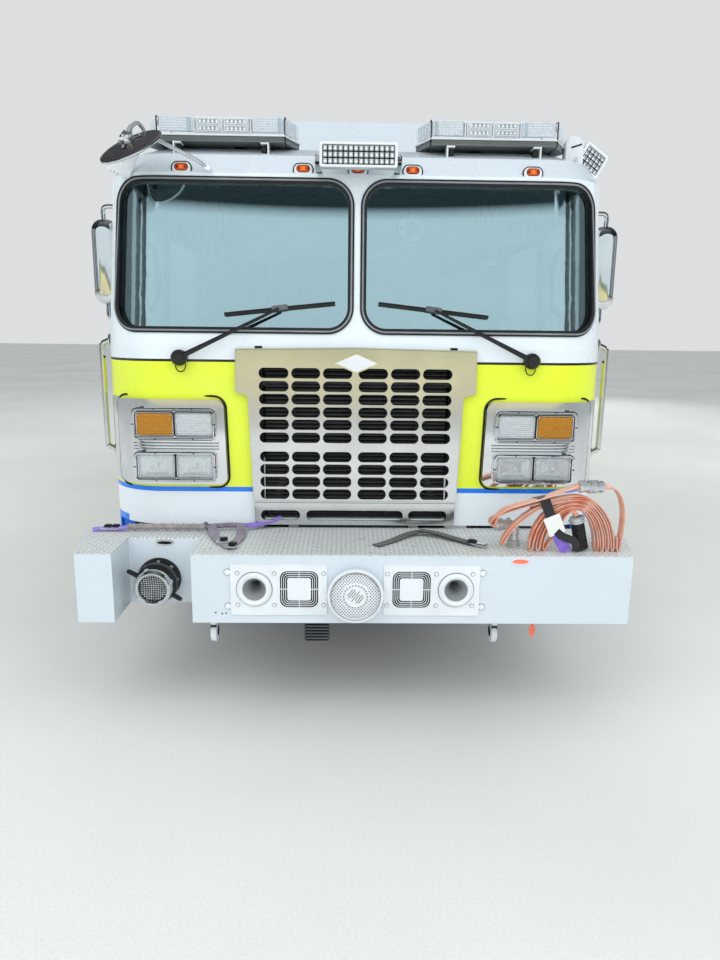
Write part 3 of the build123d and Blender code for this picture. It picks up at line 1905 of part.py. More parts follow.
save(hose_coil, "hose_coil")

# Couplings: the joined pair on top, the elbow standing on the deck, and the nozzle in the arch
pack_middle = (pack_front + pack_back) / 2
coupling_radius = 29
coupling_left = 958
coupling_meet = 1010
coupling_right = 1066
coupling_z = coupling_rest + seat_gap + coupling_radius
elbow_x = 706
elbow_y = nose + 152
elbow_radius = 23
elbow_bend = 36
elbow_top = 884
elbow_ring = 29
elbow_ring_height = 24
elbow_collar_x = (616, 652)
nozzle_x = 974
nozzle_radius = 29
nozzle_cuff = 32
nozzle_cuff_length = 28
nozzle_length = 150
nozzle_lean = 13
nozzle_rise = nozzle_length / 2 * cos(radians(nozzle_lean)) + nozzle_radius * sin(radians(nozzle_lean))
nozzle_z = pack_base + nozzle_rise
with BuildPart() as hose_couplings:
    rod_x(coupling_left, coupling_meet, pack_middle, coupling_z, coupling_radius)
    rod_x(coupling_meet, coupling_right, pack_middle, coupling_z, coupling_radius - 3)
    with BuildLine(mode=Mode.PRIVATE) as elbow_line:
        FilletPolyline(
            (elbow_x, elbow_y, pack_base),
            (elbow_x, elbow_y, elbow_top),
            (elbow_collar_x[0], elbow_y, elbow_top),
            radius=elbow_bend,
        )
    with BuildSketch(Plane.XY.offset(pack_base)) as elbow_end:
        with Locations((elbow_x, elbow_y)):
            Circle(elbow_radius)
    sweep(elbow_end.sketch, path=elbow_line.line)
    rod_z(elbow_x, elbow_y, pack_base, pack_base + elbow_ring_height, elbow_ring)
    rod_x(elbow_collar_x[0], elbow_collar_x[1], elbow_y, elbow_top, elbow_ring)
    nozzle_place = Location((nozzle_x, pack_middle, nozzle_z), (0, -nozzle_lean, 0))
    with Locations(nozzle_place):
        Cylinder(nozzle_radius, nozzle_length)
    with Locations(nozzle_place * Pos(0, 0, (nozzle_length - nozzle_cuff_length) / 2)):
        Cylinder(nozzle_cuff, nozzle_cuff_length)
save(hose_couplings, "hose_couplings")
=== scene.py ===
import json
from math import cos, hypot, pi, radians, sin, sqrt

import bpy
from mathutils import Matrix, Vector
from mathutils.bvhtree import BVHTree


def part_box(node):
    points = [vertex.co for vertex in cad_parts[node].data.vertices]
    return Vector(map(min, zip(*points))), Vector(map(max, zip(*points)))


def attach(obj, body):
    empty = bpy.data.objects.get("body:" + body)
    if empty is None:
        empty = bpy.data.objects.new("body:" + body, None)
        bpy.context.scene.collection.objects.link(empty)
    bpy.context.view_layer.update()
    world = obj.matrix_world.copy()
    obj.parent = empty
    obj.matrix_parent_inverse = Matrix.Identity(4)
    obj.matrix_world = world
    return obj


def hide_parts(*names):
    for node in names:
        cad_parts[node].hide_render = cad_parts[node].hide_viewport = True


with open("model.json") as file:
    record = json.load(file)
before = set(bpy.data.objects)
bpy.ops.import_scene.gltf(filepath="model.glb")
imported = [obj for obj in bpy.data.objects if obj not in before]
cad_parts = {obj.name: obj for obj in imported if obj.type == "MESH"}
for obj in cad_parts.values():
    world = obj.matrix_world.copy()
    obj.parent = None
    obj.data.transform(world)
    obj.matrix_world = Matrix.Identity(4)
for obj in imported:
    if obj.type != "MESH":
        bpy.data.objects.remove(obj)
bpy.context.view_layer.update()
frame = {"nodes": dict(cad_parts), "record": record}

# Places are given in millimetres: across (left positive), behind the bumper's face, above the ground
MM = 0.001
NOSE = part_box("front_bumper")[0].y
CAB_FACE = (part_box("cab_front")[0].y - NOSE) / MM
CAB_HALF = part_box("cab_front")[1].x / MM
DECK_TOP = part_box("bumper_deck")[1].z / MM
FRONT, REAR, LEFT, RIGHT, UP = (90, 0, 0), (-90, 0, 0), (0, 90, 0), (0, -90, 0), (0, 0, 0)
SIDES = {1: "left", -1: "right"}
FLIPS = {1: Matrix.Identity(4), -1: Matrix.Scale(-1, 4, (1, 0, 0))}


def place(x, behind, z, turn=UP):
    """The matrix that sets a shape drawn in millimetres at a place, turned by degrees about X, Y and Z."""
    rotation = Matrix.Identity(4)
    for axis, angle in zip("XYZ", turn):
        rotation = Matrix.Rotation(radians(angle), 4, axis) @ rotation
    here = Matrix.Translation((x * MM, NOSE + behind * MM, z * MM))
    return here @ rotation @ Matrix.Scale(MM, 4)


# Camera at the photograph's place
PHOTO_WIDTH, PHOTO_HEIGHT = 720, 960
FOCAL_PIXELS = 721
CAMERA = (-46.4, -2930.6, 1730)
YAW, PITCH, ROLL = (radians(a) for a in (1.1866, 11.9, 0.671))


def make_camera():
    """The camera, with its axes worked out from the yaw, pitch and roll of the photograph."""
    ahead = Vector((sin(YAW) * cos(PITCH), cos(YAW) * cos(PITCH), -sin(PITCH)))
    right = Vector((cos(YAW), -sin(YAW), 0))
    up = right.cross(ahead)
    turned_right = right * cos(ROLL) + up * sin(ROLL)
    turned_up = -right * sin(ROLL) + up * cos(ROLL)
    data = bpy.data.cameras.new("photo_camera")
    data.sensor_width = 36
    data.lens = FOCAL_PIXELS / max(PHOTO_WIDTH, PHOTO_HEIGHT) * data.sensor_width
    data.clip_end = 200
    camera = linked("photo_camera", data)
    axes = Matrix((turned_right, turned_up, -ahead)).transposed().to_4x4()
    camera.matrix_world = Matrix.Translation(place(*CAMERA).to_translation()) @ axes
    bpy.context.scene.camera = camera


# Materials
def tone(red, green, blue):
    """A colour from 0 to 255 as the shader's linear values."""
    return tuple(
        c / 12.92 if c <= 0.04045 else ((c + 0.055) / 1.055) ** 2.4
        for c in (red / 255, green / 255, blue / 255)
    ) + (1.0,)


class Nodes:
    """A node tree, with short calls for its nodes."""

    def __init__(self, tree):
        self.tree = tree

    def add(self, kind, values=None, **settings):
        """A node with its settings, its input values and its links."""
        node = self.tree.nodes.new(kind)
        for key, value in settings.items():
            setattr(node, key, value)
        for key, value in (values or {}).items():
            self.put(node.inputs[key], value)
        return node

    def put(self, socket, value):
        """A value or a link into a socket."""
        if isinstance(value, bpy.types.NodeSocket):
            self.tree.links.new(value, socket)
        else:
            socket.default_value = value

    def math(self, operation, *values):
        """A Math node's result."""
        return self.add("ShaderNodeMath", dict(enumerate(values)), operation=operation).outputs[0]

    def ribs(self, along, rate):
        """A wave from -1 to 1 along a value, turning at a rate in radians."""
        return self.math("SINE", self.math("MULTIPLY", along, rate))

    def ramp(self, value, stops, mode="LINEAR"):
        """A colour ramp through (place, colour) stops."""
        node = self.add("ShaderNodeValToRGB", {0: value})
        node.color_ramp.interpolation = mode
        elements = node.color_ramp.elements
        while len(elements) < len(stops):
            elements.new(1.0)
        for element, (position, colour) in zip(elements, stops):
            element.position = position
            element.color = colour if hasattr(colour, "__len__") else (colour,) * 3 + (1,)
        return node.outputs[0]

    def mix(self, first, second, factor, blend="MIX"):
        """Two colours mixed by a factor."""
        values = {0: factor, 6: first, 7: second}
        return self.add("ShaderNodeMix", data_type="RGBA", blend_type=blend, values=values).outputs[2]


class Shader(Nodes):
    """A material's node tree, with its main shader and textures in the object's own metres."""

    def __init__(self, name):
        self.material = bpy.data.materials.new(name)
        self.material.use_nodes = True
        super().__init__(self.material.node_tree)
        self.main = self.tree.nodes["Principled BSDF"]
        self.place = self.add("ShaderNodeTexCoord").outputs["Object"]

    def set(self, **values):
        """Values of the main shader, with spaces written as underscores."""
        for key, value in values.items():
            self.put(self.main.inputs[key.replace("_", " ")], value)

    def axes(self):
        """The three coordinates of the place on the object."""
        return self.add("ShaderNodeSeparateXYZ", {0: self.place}).outputs

    def noise(self, scale, detail=4, stretch=(1, 1, 1), rough=0.5):
        """A noise value from 0 to 1."""
        spread = self.add("ShaderNodeMapping", {"Vector": self.place, "Scale": stretch})
        values = {"Vector": spread.outputs[0], "Scale": scale, "Detail": detail, "Roughness": rough}
        return self.add("ShaderNodeTexNoise", values).outputs["Fac"]

    def bump(self, *heights):
        """Bumps from (height, strength, depth in metres), one over the other."""
        normal = None
        for height, strength, depth in heights:
            values = {"Height": height, "Strength": strength, "Distance": depth}
            if normal is not None:
                values["Normal"] = normal
            normal = self.add("ShaderNodeBump", values).outputs[0]
        self.put(self.main.inputs["Normal"], normal)

    def mottled(self, colour, other, scale, low=0.35, high=0.65, stretch=(1, 1, 1)):
        """A colour that drifts to another by noise."""
        drift = self.ramp(self.noise(scale, stretch=stretch), [(low, 0.0), (high, 1.0)])
        return self.mix(colour, other, drift)

    def weave(self, one_way, other_way, rate):
        """Ribs that cross along two values, turning at a rate in radians."""
        return self.math("MULTIPLY", self.ribs(one_way, rate), self.ribs(other_way, rate))


def shade(colour, factor):
    """A colour made darker or lighter by a factor."""
    return tuple(min(1.0, c * factor) for c in colour[:3]) + (1.0,)


WHITE = tone(220, 230, 236)
LIME = tone(222, 240, 52)
BLUE = tone(0, 118, 230)
SEAM = tone(16, 18, 20)
# In metres: the height that the bands' ramp spans, the corner band's top, and its start from the middle
BAND_REACH = 3.0
LOW_BAND_TOP, LOW_BAND_IN = 0.832, 1.1
# In radians a metre: how fast the ribs of woven straps, seat covers and the hose turn
STRAP_RIBS, SEAT_RIBS, HOSE_RIBS = 2400.0, 1800.0, 1500.0


def paint(name, bands, rough=0.24, low_band=None):
    """Coated paint in bands of (height in metres where it starts, colour), and a low one at the corners."""
    s = Shader(name)
    height = s.math("DIVIDE", s.axes()[2], BAND_REACH)
    colour = s.ramp(height, [(low / BAND_REACH, c) for low, c in bands], "CONSTANT")
    if low_band:
        outside = s.math("GREATER_THAN", s.math("ABSOLUTE", s.axes()[0]), LOW_BAND_IN)
        below = s.math("LESS_THAN", s.axes()[2], LOW_BAND_TOP)
        colour = s.mix(colour, low_band, s.math("MULTIPLY", outside, below))
    grime = s.ramp(s.noise(3.1, 6), [(0.45, 0.0), (0.8, 0.14)])
    s.set(Base_Color=s.mix(colour, tone(170, 172, 170), grime), Coat_Weight=0.35, Coat_Roughness=0.05)
    s.set(Specular_IOR_Level=0.35)
    s.set(Roughness=s.ramp(s.noise(9), [(0.3, rough), (0.8, rough + 0.12)]))
    s.bump((s.noise(420, 2), 0.03, 0.0006), (s.noise(1.6, 2), 0.05, 0.004))
    return s.material


def metal(name, colour, rough, wave=0.04, scratch=0.05, stretch=(1, 1, 1), metallic=1.0):
    """Bright metal with faint waves and fine scratches."""
    s = Shader(name)
    s.set(Base_Color=s.mottled(colour, shade(colour, 0.9), 5.0), Metallic=metallic)
    s.set(Roughness=s.ramp(s.noise(28, 6, stretch), [(0.3, rough), (0.75, rough * 1.8 + 0.03)]))
    s.bump((s.noise(2.2, 2), wave, 0.004), (s.noise(260, 3, stretch), scratch, 0.0004))
    return s.material


def plastic(name, colour, rough=0.5, grain=900, strength=0.12, wear=0.25):
    """Moulded plastic or rubber with a fine grain and paler worn patches."""
    s = Shader(name)
    s.set(Base_Color=s.mottled(colour, shade(colour, 1 + wear), 11.0))
    s.set(Roughness=s.ramp(s.noise(19, 5), [(0.3, rough), (0.8, min(1.0, rough + 0.18))]))
    s.bump((s.noise(grain, 2), strength, 0.0006), (s.noise(34, 4), strength * 0.5, 0.0008))
    return s.material


def lens(name, colour, alpha, across=0.0, down=0.0, rough=0.06, glow=0.0):
    """A lamp's lens with ribs across and down at the given spacing in metres, the ribs' crests painted
    darker as painted shade.
    """
    s = Shader(name)
    tint = s.mottled(colour, shade(colour, 0.86), 60.0)
    heights = [(s.noise(150, 2), 0.08, 0.001)]
    for axis, pitch in ((0, across), (2, down)):
        if pitch:
            ribs = s.ribs(s.axes()[axis], 2 * pi / pitch)
            heights.append((ribs, 0.7, pitch * 0.12))
            # The ribs' crests are also painted darker: painted shade of the lens pattern
            tint = s.mix(tint, shade(colour, 0.55), s.ramp(ribs, [(0.0, 0.0), (1.0, 0.6)]))
    s.set(Base_Color=tint, Alpha=alpha, Coat_Weight=0.5, IOR=1.5)
    s.set(Roughness=s.ramp(s.noise(40), [(0.3, rough), (0.8, rough + 0.06)]))
    if glow:
        s.set(Emission_Color=colour, Emission_Strength=glow)
    s.bump(*heights)
    return s.material


def window_glass(name, tint, alpha):
    """Tinted glass that mirrors the daylight in front of it and lets the cab show through."""
    s = Shader(name)
    streaks = s.ramp(s.noise(1.4, 3, (1, 1, 4)), [(0.35, 0.0), (0.75, 0.35)])
    s.set(Base_Color=s.mix(tint, shade(tint, 0.86), streaks), Metallic=1.0, Alpha=alpha)
    s.set(Roughness=s.ramp(s.noise(6), [(0.3, 0.0), (0.8, 0.02)]))
    s.bump((s.noise(0.9, 1), 0.05, 0.01))
    return s.material


def tread_plate():
    """Bright plate with raised lozenges that lie in turn along both diagonals."""
    s = Shader("tread_plate")
    cell = 0.021
    scaled = s.add("ShaderNodeVectorMath", {0: s.place, "Scale": 1 / cell}, operation="SCALE")
    u, v, _ = s.add("ShaderNodeSeparateXYZ", {0: scaled.outputs[0]}).outputs
    odd = s.math("MODULO", s.math("ABSOLUTE", s.math("ADD", s.math("FLOOR", u), s.math("FLOOR", v))), 2.0)
    turn = s.math("SUBTRACT", s.math("MULTIPLY", odd, 2.0), 1.0)
    fu = s.math("SUBTRACT", s.math("FRACT", u), 0.5)
    fv = s.math("MULTIPLY", s.math("SUBTRACT", s.math("FRACT", v), 0.5), turn)
    along = s.math("POWER", s.math("MULTIPLY", s.math("ADD", fu, fv), 0.95), 2.0)
    wide = s.math("POWER", s.math("MULTIPLY", s.math("SUBTRACT", fu, fv), 4.0), 2.0)
    raised = s.ramp(s.math("ADD", along, wide), [(0.15, 1.0), (0.65, 0.0)])
    # The raised lozenges are coloured paler than the flat plate between them
    raised_paler = s.mix(tone(190, 195, 196), tone(250, 252, 252), raised)
    dirt = s.ramp(s.noise(2.4, 6), [(0.45, 0.0), (0.8, 0.3)])
    specks = s.ramp(s.noise(55, 5), [(0.6, 0.0), (0.72, 0.55)])
    soiled = s.mix(s.mix(raised_paler, tone(196, 194, 186), dirt), tone(92, 92, 90), specks)
    s.set(Base_Color=soiled, Metallic=0.05)
    s.set(Roughness=s.ramp(s.noise(15, 5), [(0.3, 0.3), (0.75, 0.5)]))
    s.bump((raised, 0.9, 0.0016), (s.noise(300, 2), 0.1, 0.0005))
    return s.material


def webbing(name, colour):
    """Woven strap: fine ribs across both ways and a faded nap."""
    s = Shader(name)
    s.set(Base_Color=s.mottled(colour, shade(colour, 1.5), 45.0), Roughness=0.85, Sheen_Weight=0.4)
    x, y, z = s.axes()
    woven = s.weave(s.math("ADD", x, z), s.math("SUBTRACT", y, z), STRAP_RIBS)
    s.bump((woven, 0.5, 0.0006), (s.noise(60, 4), 0.2, 0.001))
    return s.material


def tyre_rubber():
    """Dark rubber with dust in its lower places."""
    s = Shader("tyre_rubber")
    dust = s.ramp(s.noise(7, 7), [(0.42, 0.0), (0.8, 0.55)])
    s.set(Base_Color=s.mix(tone(38, 38, 39), tone(92, 89, 84), dust), Roughness=0.82)
    s.bump((s.noise(380, 3), 0.25, 0.0008), (s.noise(40, 4), 0.15, 0.001))
    return s.material


def seat_cloth():
    """Dark woven seat cover."""
    s = Shader("seat_cloth")
    s.set(Base_Color=s.mottled(tone(52, 53, 57), tone(78, 79, 84), 90.0), Roughness=0.9, Sheen_Weight=0.3)
    x, y, z = s.axes()
    woven = s.weave(s.math("ADD", x, y), s.math("SUBTRACT", z, x), SEAT_RIBS)
    s.bump((woven, 0.4, 0.0007), (s.noise(9, 3), 0.3, 0.006))
    return s.material


def hose_cloth():
    """Salmon woven hose jacket with faded and soiled stretches."""
    s = Shader("hose_cloth")
    faded = s.mottled(tone(234, 138, 98), tone(230, 180, 160), 9.0, 0.36, 0.6)
    soil = s.ramp(s.noise(33, 6), [(0.5, 0.0), (0.8, 0.5)])
    s.set(Base_Color=s.mix(faded, tone(176, 128, 110), soil), Roughness=0.82, Sheen_Weight=0.3)
    x, y, z = s.axes()
    ribs = s.ribs(s.math("ADD", x, s.math("ADD", y, z)), HOSE_RIBS)
    s.bump((ribs, 0.5, 0.0009), (s.noise(50, 4), 0.4, 0.003))
    return s.material


def perforated(name, colour, dark, centre_x, centre_z, pitch, radius):
    """Sheet with round holes in staggered rows about a centre, seen from the front; the holes are not cut
    but painted dark as painted shade, and dented by a bump.
    """
    s = Shader(name)
    x, _, z = s.axes()
    tall = pitch * 0.58
    row = s.math("ADD", s.math("DIVIDE", s.math("SUBTRACT", z, centre_z), tall), 100.5)
    odd = s.math("MODULO", s.math("FLOOR", row), 2.0)
    column = s.math("ADD", s.math("DIVIDE", s.math("SUBTRACT", x, centre_x), pitch), 100.5)
    column = s.math("ADD", column, s.math("MULTIPLY", odd, 0.5))
    across = s.math("MULTIPLY", s.math("SUBTRACT", s.math("FRACT", column), 0.5), pitch)
    up = s.math("MULTIPLY", s.math("SUBTRACT", s.math("FRACT", row), 0.5), tall)
    away = s.math("SQRT", s.math("ADD", s.math("POWER", across, 2.0), s.math("POWER", up, 2.0)))
    reach = s.math("DIVIDE", away, radius * 2)
    # Painted shade: the holes are a dark colour on the sheet
    hole_shade_mask = s.ramp(reach, [(0.42, 1.0), (0.56, 0.0)])
    s.set(Base_Color=s.mix(colour, dark, hole_shade_mask), Metallic=0.2, Roughness=0.4)
    s.bump((hole_shade_mask, -0.6, 0.0015), (s.noise(120, 3), 0.06, 0.0006))
    return s.material


LOOK = {
    "white": paint("white_paint", [(0.0, WHITE)]),
    "cab": paint(
        "cab_paint",
        [(0.0, WHITE), (0.956, BLUE), (0.98, LIME), (1.567, SEAM), (1.574, WHITE)],
        low_band=BLUE,
    ),
    "body": paint("body_paint", [(0.0, WHITE), (0.956, BLUE), (0.98, LIME), (1.567, WHITE)]),
    "bumper": paint("bumper_paint", [(0.0, tone(204, 216, 224))], 0.32),
    # The cab's white paint made darker on the roof: painted shade where the lamps light the roof too
    # brightly
    "roof": paint("roof_white_painted_shade", [(0.0, tone(194, 205, 213))]),
    "black_paint": plastic("black_paint", tone(24, 25, 27), 0.42, 500, 0.06),
    "chrome": metal("chrome", tone(226, 229, 231), 0.035, 0.05, 0.02),
    "steel": metal("polished_steel", tone(222, 224, 225), 0.09, 0.10, 0.05, (1, 1, 8)),
    "aluminium": metal("aluminium", tone(205, 208, 211), 0.28, 0.03, 0.12, (6, 1, 1)),
    "plate": metal("horn_plate_metal", tone(230, 236, 240), 0.34, 0.03, 0.06, metallic=0.15),
    "tread": tread_plate(),
    "rubber": plastic("black_rubber", tone(26, 27, 28), 0.55, 700, 0.1),
    # Grey used as a painted highlight along the black window rubber, and as painted shade lines round bolts,
    # the horns' rims and the siren's rim
    "strip": plastic("grey_painted_highlight_and_shade", tone(118, 124, 130), 0.35, 700, 0.05),
    "black": plastic("black_plastic", tone(24, 25, 27), 0.38, 900, 0.08),
    "grey": plastic("grey_plastic", tone(88, 92, 96), 0.6, 900, 0.15),
    "pale": plastic("pale_plastic", tone(206, 212, 216), 0.45, 900, 0.06, 0.05),
    "dark": plastic("deep_shade", tone(10, 11, 12), 0.7, 600, 0.05),
    "iron": plastic("cast_iron", tone(58, 59, 62), 0.7, 260, 0.35),
    "tyre": tyre_rubber(),
    "cloth": seat_cloth(),
    "hose": hose_cloth(),
    "purple": webbing("purple_webbing", tone(116, 92, 182)),
    "slate": webbing("slate_webbing", tone(104, 96, 112)),
    "wrap": webbing("wrapped_webbing", tone(128, 122, 122)),
    "black_web": webbing("black_webbing", tone(30, 30, 34)),
    "label": plastic("blank_label", tone(222, 224, 222), 0.6, 600, 0.05, 0.04),
    "glass": window_glass("window_glass", tone(205, 232, 238), 0.62),
    "mirror": metal("mirror_glass", tone(214, 222, 226), 0.01, 0.0, 0.0),
    "shaded_glass": metal("shaded_mirror_glass", tone(62, 74, 74), 0.02, 0.0, 0.0),
    "clear": lens("clear_lens", tone(226, 236, 240), 0.28),
    "ribbed": lens("ribbed_lens", tone(228, 237, 241), 0.62, 0.0, 0.0095),
    "pebbled": lens("pebbled_lens", tone(222, 233, 242), 0.95, 0.0105, 0.0105),
    "amber": lens("amber_lens", tone(214, 146, 34), 0.8, 0.011, 0.011),
    "marker": lens("marker_lens", tone(226, 96, 24), 0.9, 0.0, 0.007),
    "red": lens("red_lens", tone(176, 22, 20), 0.92, 0.011, 0.011),
    "led": lens("led_cell", tone(236, 244, 250), 1.0, rough=0.2, glow=0.35),
    "bulb": lens("lamp_bulb", tone(214, 222, 226), 0.9, rough=0.1),
    "reflector": metal("lamp_reflector", tone(232, 235, 236), 0.06, 0.6, 0.5),
    "siren_mesh": perforated("siren_mesh", tone(222, 229, 234), tone(20, 22, 24), 0.0, 0.62, 0.0128, 0.0026),
    "bell": metal("horn_bell_metal", tone(186, 190, 190), 0.3, 0.03, 0.05, metallic=0.6),
    "dome": plastic("dark_dome", tone(50, 48, 52), 0.12, 900, 0.03),
    "coupling": metal("coupling_metal", tone(206, 211, 214), 0.2, 0.05, 0.1, metallic=0.6),
    "bar_base": metal("bar_base_metal", tone(150, 154, 154), 0.34, 0.03, 0.08, (1, 6, 6)),
    "bar_lens": lens("bar_lens", tone(232, 240, 244), 0.22, rough=0.03),
    "bar_blue": lens("bar_blue_lens", tone(168, 196, 214), 0.9, 0.0065, 0.0065),
    "marker_core": lens("marker_core", tone(238, 120, 44), 1.0, glow=0.25),
    "dark_amber": lens("dark_amber", tone(150, 42, 16), 1.0),
    "orange": plastic("orange_reflector", tone(238, 118, 92), 0.25, 400, 0.1),
}

CAD_LOOKS = {
    "white_paint": "white",
    "bumper_paint": "bumper",
    "black_paint": "black_paint",
    "tread_plate": "tread",
    "polished_steel": "steel",
    "chrome": "chrome",
    "aluminium": "aluminium",
    "clear_lens": "clear",
    "amber_lens": "amber",
    "red_lens": "red",
    "window_glass": "glass",
    "rubber": "rubber",
    "tyre": "tyre",
    "grey_plastic": "grey",
    "black_plastic": "black",
    "seat_fabric": "cloth",
    "cast_iron": "iron",
    "hose_jacket": "hose",
}
NODE_LOOKS = {
    "cab_front": "cab",
    "cab_roof": "roof",
    "cab_sides": "cab",
    "cab_back_wall": "cab",
    "front_door_left": "cab",
    "front_door_right": "cab",
    "rear_door_left": "cab",
    "rear_door_right": "cab",
    "body_sides": "body",
    "fore_locker_door_left": "body",
    "fore_locker_door_right": "body",
    "aft_locker_door_left": "body",
    "aft_locker_door_right": "body",
    "tail_locker_door": "body",
    "horn_plates": "plate",
    "radiator": "dark",
}


def dress_cad():
    """Every CAD node gets the material of its slot, or one of its own."""
    for row in frame["record"]["subparts"]:
        node = frame["nodes"][row["node"]]
        look = NODE_LOOKS.get(row["node"]) or CAD_LOOKS[row["material_slot"]]
        for index in range(len(node.material_slots)):
            node.material_slots[index].material = LOOK[look]


# Shapes, drawn in millimetres as (points, faces)
def polar(radius, degrees):
    """The two coordinates of a point at a distance and an angle about the origin."""
    angle = radians(degrees)
    return radius * cos(angle), radius * sin(angle)


def turns(steps):
    """Equal angles all the way round."""
    return [2 * pi * i / steps for i in range(steps)]


def rounded(width, height, corner, steps=5):
    """A rectangle's outline with round corners, about the origin."""
    outline = []
    for index, (sx, sy) in enumerate(((1, 1), (-1, 1), (-1, -1), (1, -1))):
        for step in range(steps + 1):
            x, y = polar(corner, 90 * index + 90 * step / steps)
            outline.append((sx * (width / 2 - corner) + x, sy * (height / 2 - corner) + y))
    return outline


def ellipse(width, height, steps=32):
    """An ellipse's outline about the origin."""
    return [(width / 2 * cos(a), height / 2 * sin(a)) for a in turns(steps)]


def shifted(outline, x, y):
    """An outline moved by a distance across and up."""
    return [(px + x, py + y) for px, py in outline]


def grown(outline, distance):
    """An outline moved outwards by a distance along its corners' middle lines."""
    moved = []
    count = len(outline)
    for i, (x, y) in enumerate(outline):
        before, after = outline[i - 1], outline[(i + 1) % count]
        nx, ny = after[1] - before[1], before[0] - after[0]
        size = hypot(nx, ny) or 1.0
        moved.append((x + nx / size * distance, y + ny / size * distance))
    return moved


def skin(loops, start=True, end=True, wrap=False):
    """A surface over loops of equally many points, closed by caps or back onto itself."""
    count = len(loops[0])
    points = [p for loop in loops for p in loop]
    faces = []
    rows = len(loops) if wrap else len(loops) - 1
    for row in range(rows):
        near, far = row * count, (row + 1) % len(loops) * count
        for i in range(count):
            j = (i + 1) % count
            faces.append((near + i, near + j, far + j, far + i))
    if not wrap and start:
        faces.append(tuple(reversed(range(count))))
    if not wrap and end:
        faces.append(tuple(range((len(loops) - 1) * count, len(loops) * count)))
    return points, faces


def layer(outline, height):
    """An outline as a loop at a height."""
    return [(x, y, height) for x, y in outline]


def slab(outline, low, high, edge=1.0):
    """An outline drawn from low to high, with its edges broken."""
    inside = grown(outline, -edge)
    return skin(
        [layer(inside, low), layer(outline, low + edge), layer(outline, high - edge), layer(inside, high)]
    )


def box(width, depth, height, edge=2.0):
    """A block about the origin with broken edges."""
    return slab(rounded(width, depth, edge, 1), -height / 2, height / 2, edge)


def ring(outer, inner, low, high, edge=1.5):
    """A frame between two outlines with as many points, its top edges rounded."""
    loops = [
        layer(outer, low),
        layer(outer, high - edge),
        layer(grown(outer, -edge), high),
        layer(grown(inner, edge), high),
        layer(inner, high - edge),
        layer(inner, low),
    ]
    return skin(loops, wrap=True)


def lathe(profile, steps=32, closed=True):
    """A profile of (radius, height) turned about Z, closed at its ends unless told to stay open."""
    loops = []
    for radius, height in profile:
        r = max(radius, 0.01)
        loops.append([(r * cos(a), r * sin(a), height) for a in turns(steps)])
    return skin(loops, closed, closed)


def hoop(radius, thick, steps=40, sides=10):
    """A torus about Z."""
    loops = []
    for a in turns(steps):
        section = [(radius + thick * cos(b), thick * sin(b)) for b in turns(sides)]
        loops.append([(reach * cos(a), reach * sin(a), z) for reach, z in section])
    return skin(loops, wrap=True)


def flowing(points, per=8):
    """A smooth run through points, as a Catmull-Rom curve."""
    points = [Vector(p) for p in points]
    ends = [2 * points[0] - points[1], *points, 2 * points[-1] - points[-2]]
    run = []
    for a, b, c, d in zip(ends, ends[1:], ends[2:], ends[3:]):
        for step in range(per):
            t = step / per
            square, cube = 2 * a - 5 * b + 4 * c - d, 3 * b - a - 3 * c + d
            run.append(0.5 * (2 * b + (c - a) * t + square * t * t + cube * t**3))
    return run + [points[-1]]


def directions(points):
    """Each point of a line, with the direction in which the line runs there."""
    points = [Vector(p) for p in points]
    befores, afters = [points[0], *points[:-1]], [*points[1:], points[-1]]
    return [(p, (after - before).normalized()) for before, p, after in zip(befores, points, afters)]


def tube(points, radius, sides=10, flat=1.0, up=(0, 0, 1), taper=1.0):
    """A round or flattened tube along points; flat is its thickness over its width."""
    loops = []
    for i, (p, run) in enumerate(directions(points)):
        side = run.cross(Vector(up))
        side = side.normalized() if side.length > 0.05 else run.cross(Vector((0, 1, 0))).normalized()
        over = side.cross(run)
        r = radius * (1 + (taper - 1) * i / (len(points) - 1))
        loops.append([tuple(p + side * r * cos(a) + over * r * flat * sin(a)) for a in turns(sides)])
    return skin(loops)


def strip(points, width, thick, side_at):
    """A flat strip along points; side_at gives its width's direction from the direction of the run."""
    loops = []
    for p, run in directions(points):
        side = side_at(run)
        w, t = side * width / 2, side.cross(run) * thick / 2
        loops.append([tuple(p + w + t), tuple(p - w + t), tuple(p - w - t), tuple(p + w - t)])
    return skin(loops)


def flat_strap(points, width, thick, up=(0, 0, 1)):
    """A strip along points that lies square to a direction."""
    return strip(points, width, thick, lambda run: run.cross(Vector(up)).normalized())


def band(points, width, thick, wide):
    """A strip along points whose width lies as near as it can to a direction."""
    wide = Vector(wide)
    return strip(points, width, thick, lambda run: (wide - run * wide.dot(run)).normalized())


def bolt(radius, height):
    """A round bolt head with a broken edge."""
    return lathe([(radius, 0), (radius, height * 0.5), (radius * 0.8, height * 0.9), (0, height)], 16)


def hexagon(radius, height):
    """A nut with a small washer."""
    washer, lip = radius * 1.25, height * 0.15
    return lathe([(washer, 0), (washer, lip), (radius, lip), (radius, height), (0, height)], 6)


def bowl(width, height, depth, floor_share=0.45):
    """A lamp's square reflector that narrows to its floor, drawn open towards +Z."""
    loops = []
    for share in (1.0, 0.93, 0.8, floor_share):
        sink = -depth * sqrt(max(0.0, 1 - ((share - floor_share) / (1 - floor_share)) ** 2))
        corner = min(width, height) * 0.12 * share
        loops.append(layer(rounded(width * share, height * share, corner, 4), sink))
    loops.reverse()
    points, faces = skin(loops, start=True, end=False)
    return points, [tuple(reversed(f)) for f in faces]


def crowned(width, height, corner, rise, steps=5):
    """A lens that bulges by its rise over a round-cornered outline."""
    outline = rounded(width, height, corner, steps)
    loops = [layer(outline, 0), layer(outline, 1.5)]
    for share, lift in ((0.96, 0.35), (0.82, 0.72), (0.5, 0.95)):
        loops.append(layer([(x * share, y * share) for x, y in outline], 1.5 + rise * lift))
    return skin(loops)


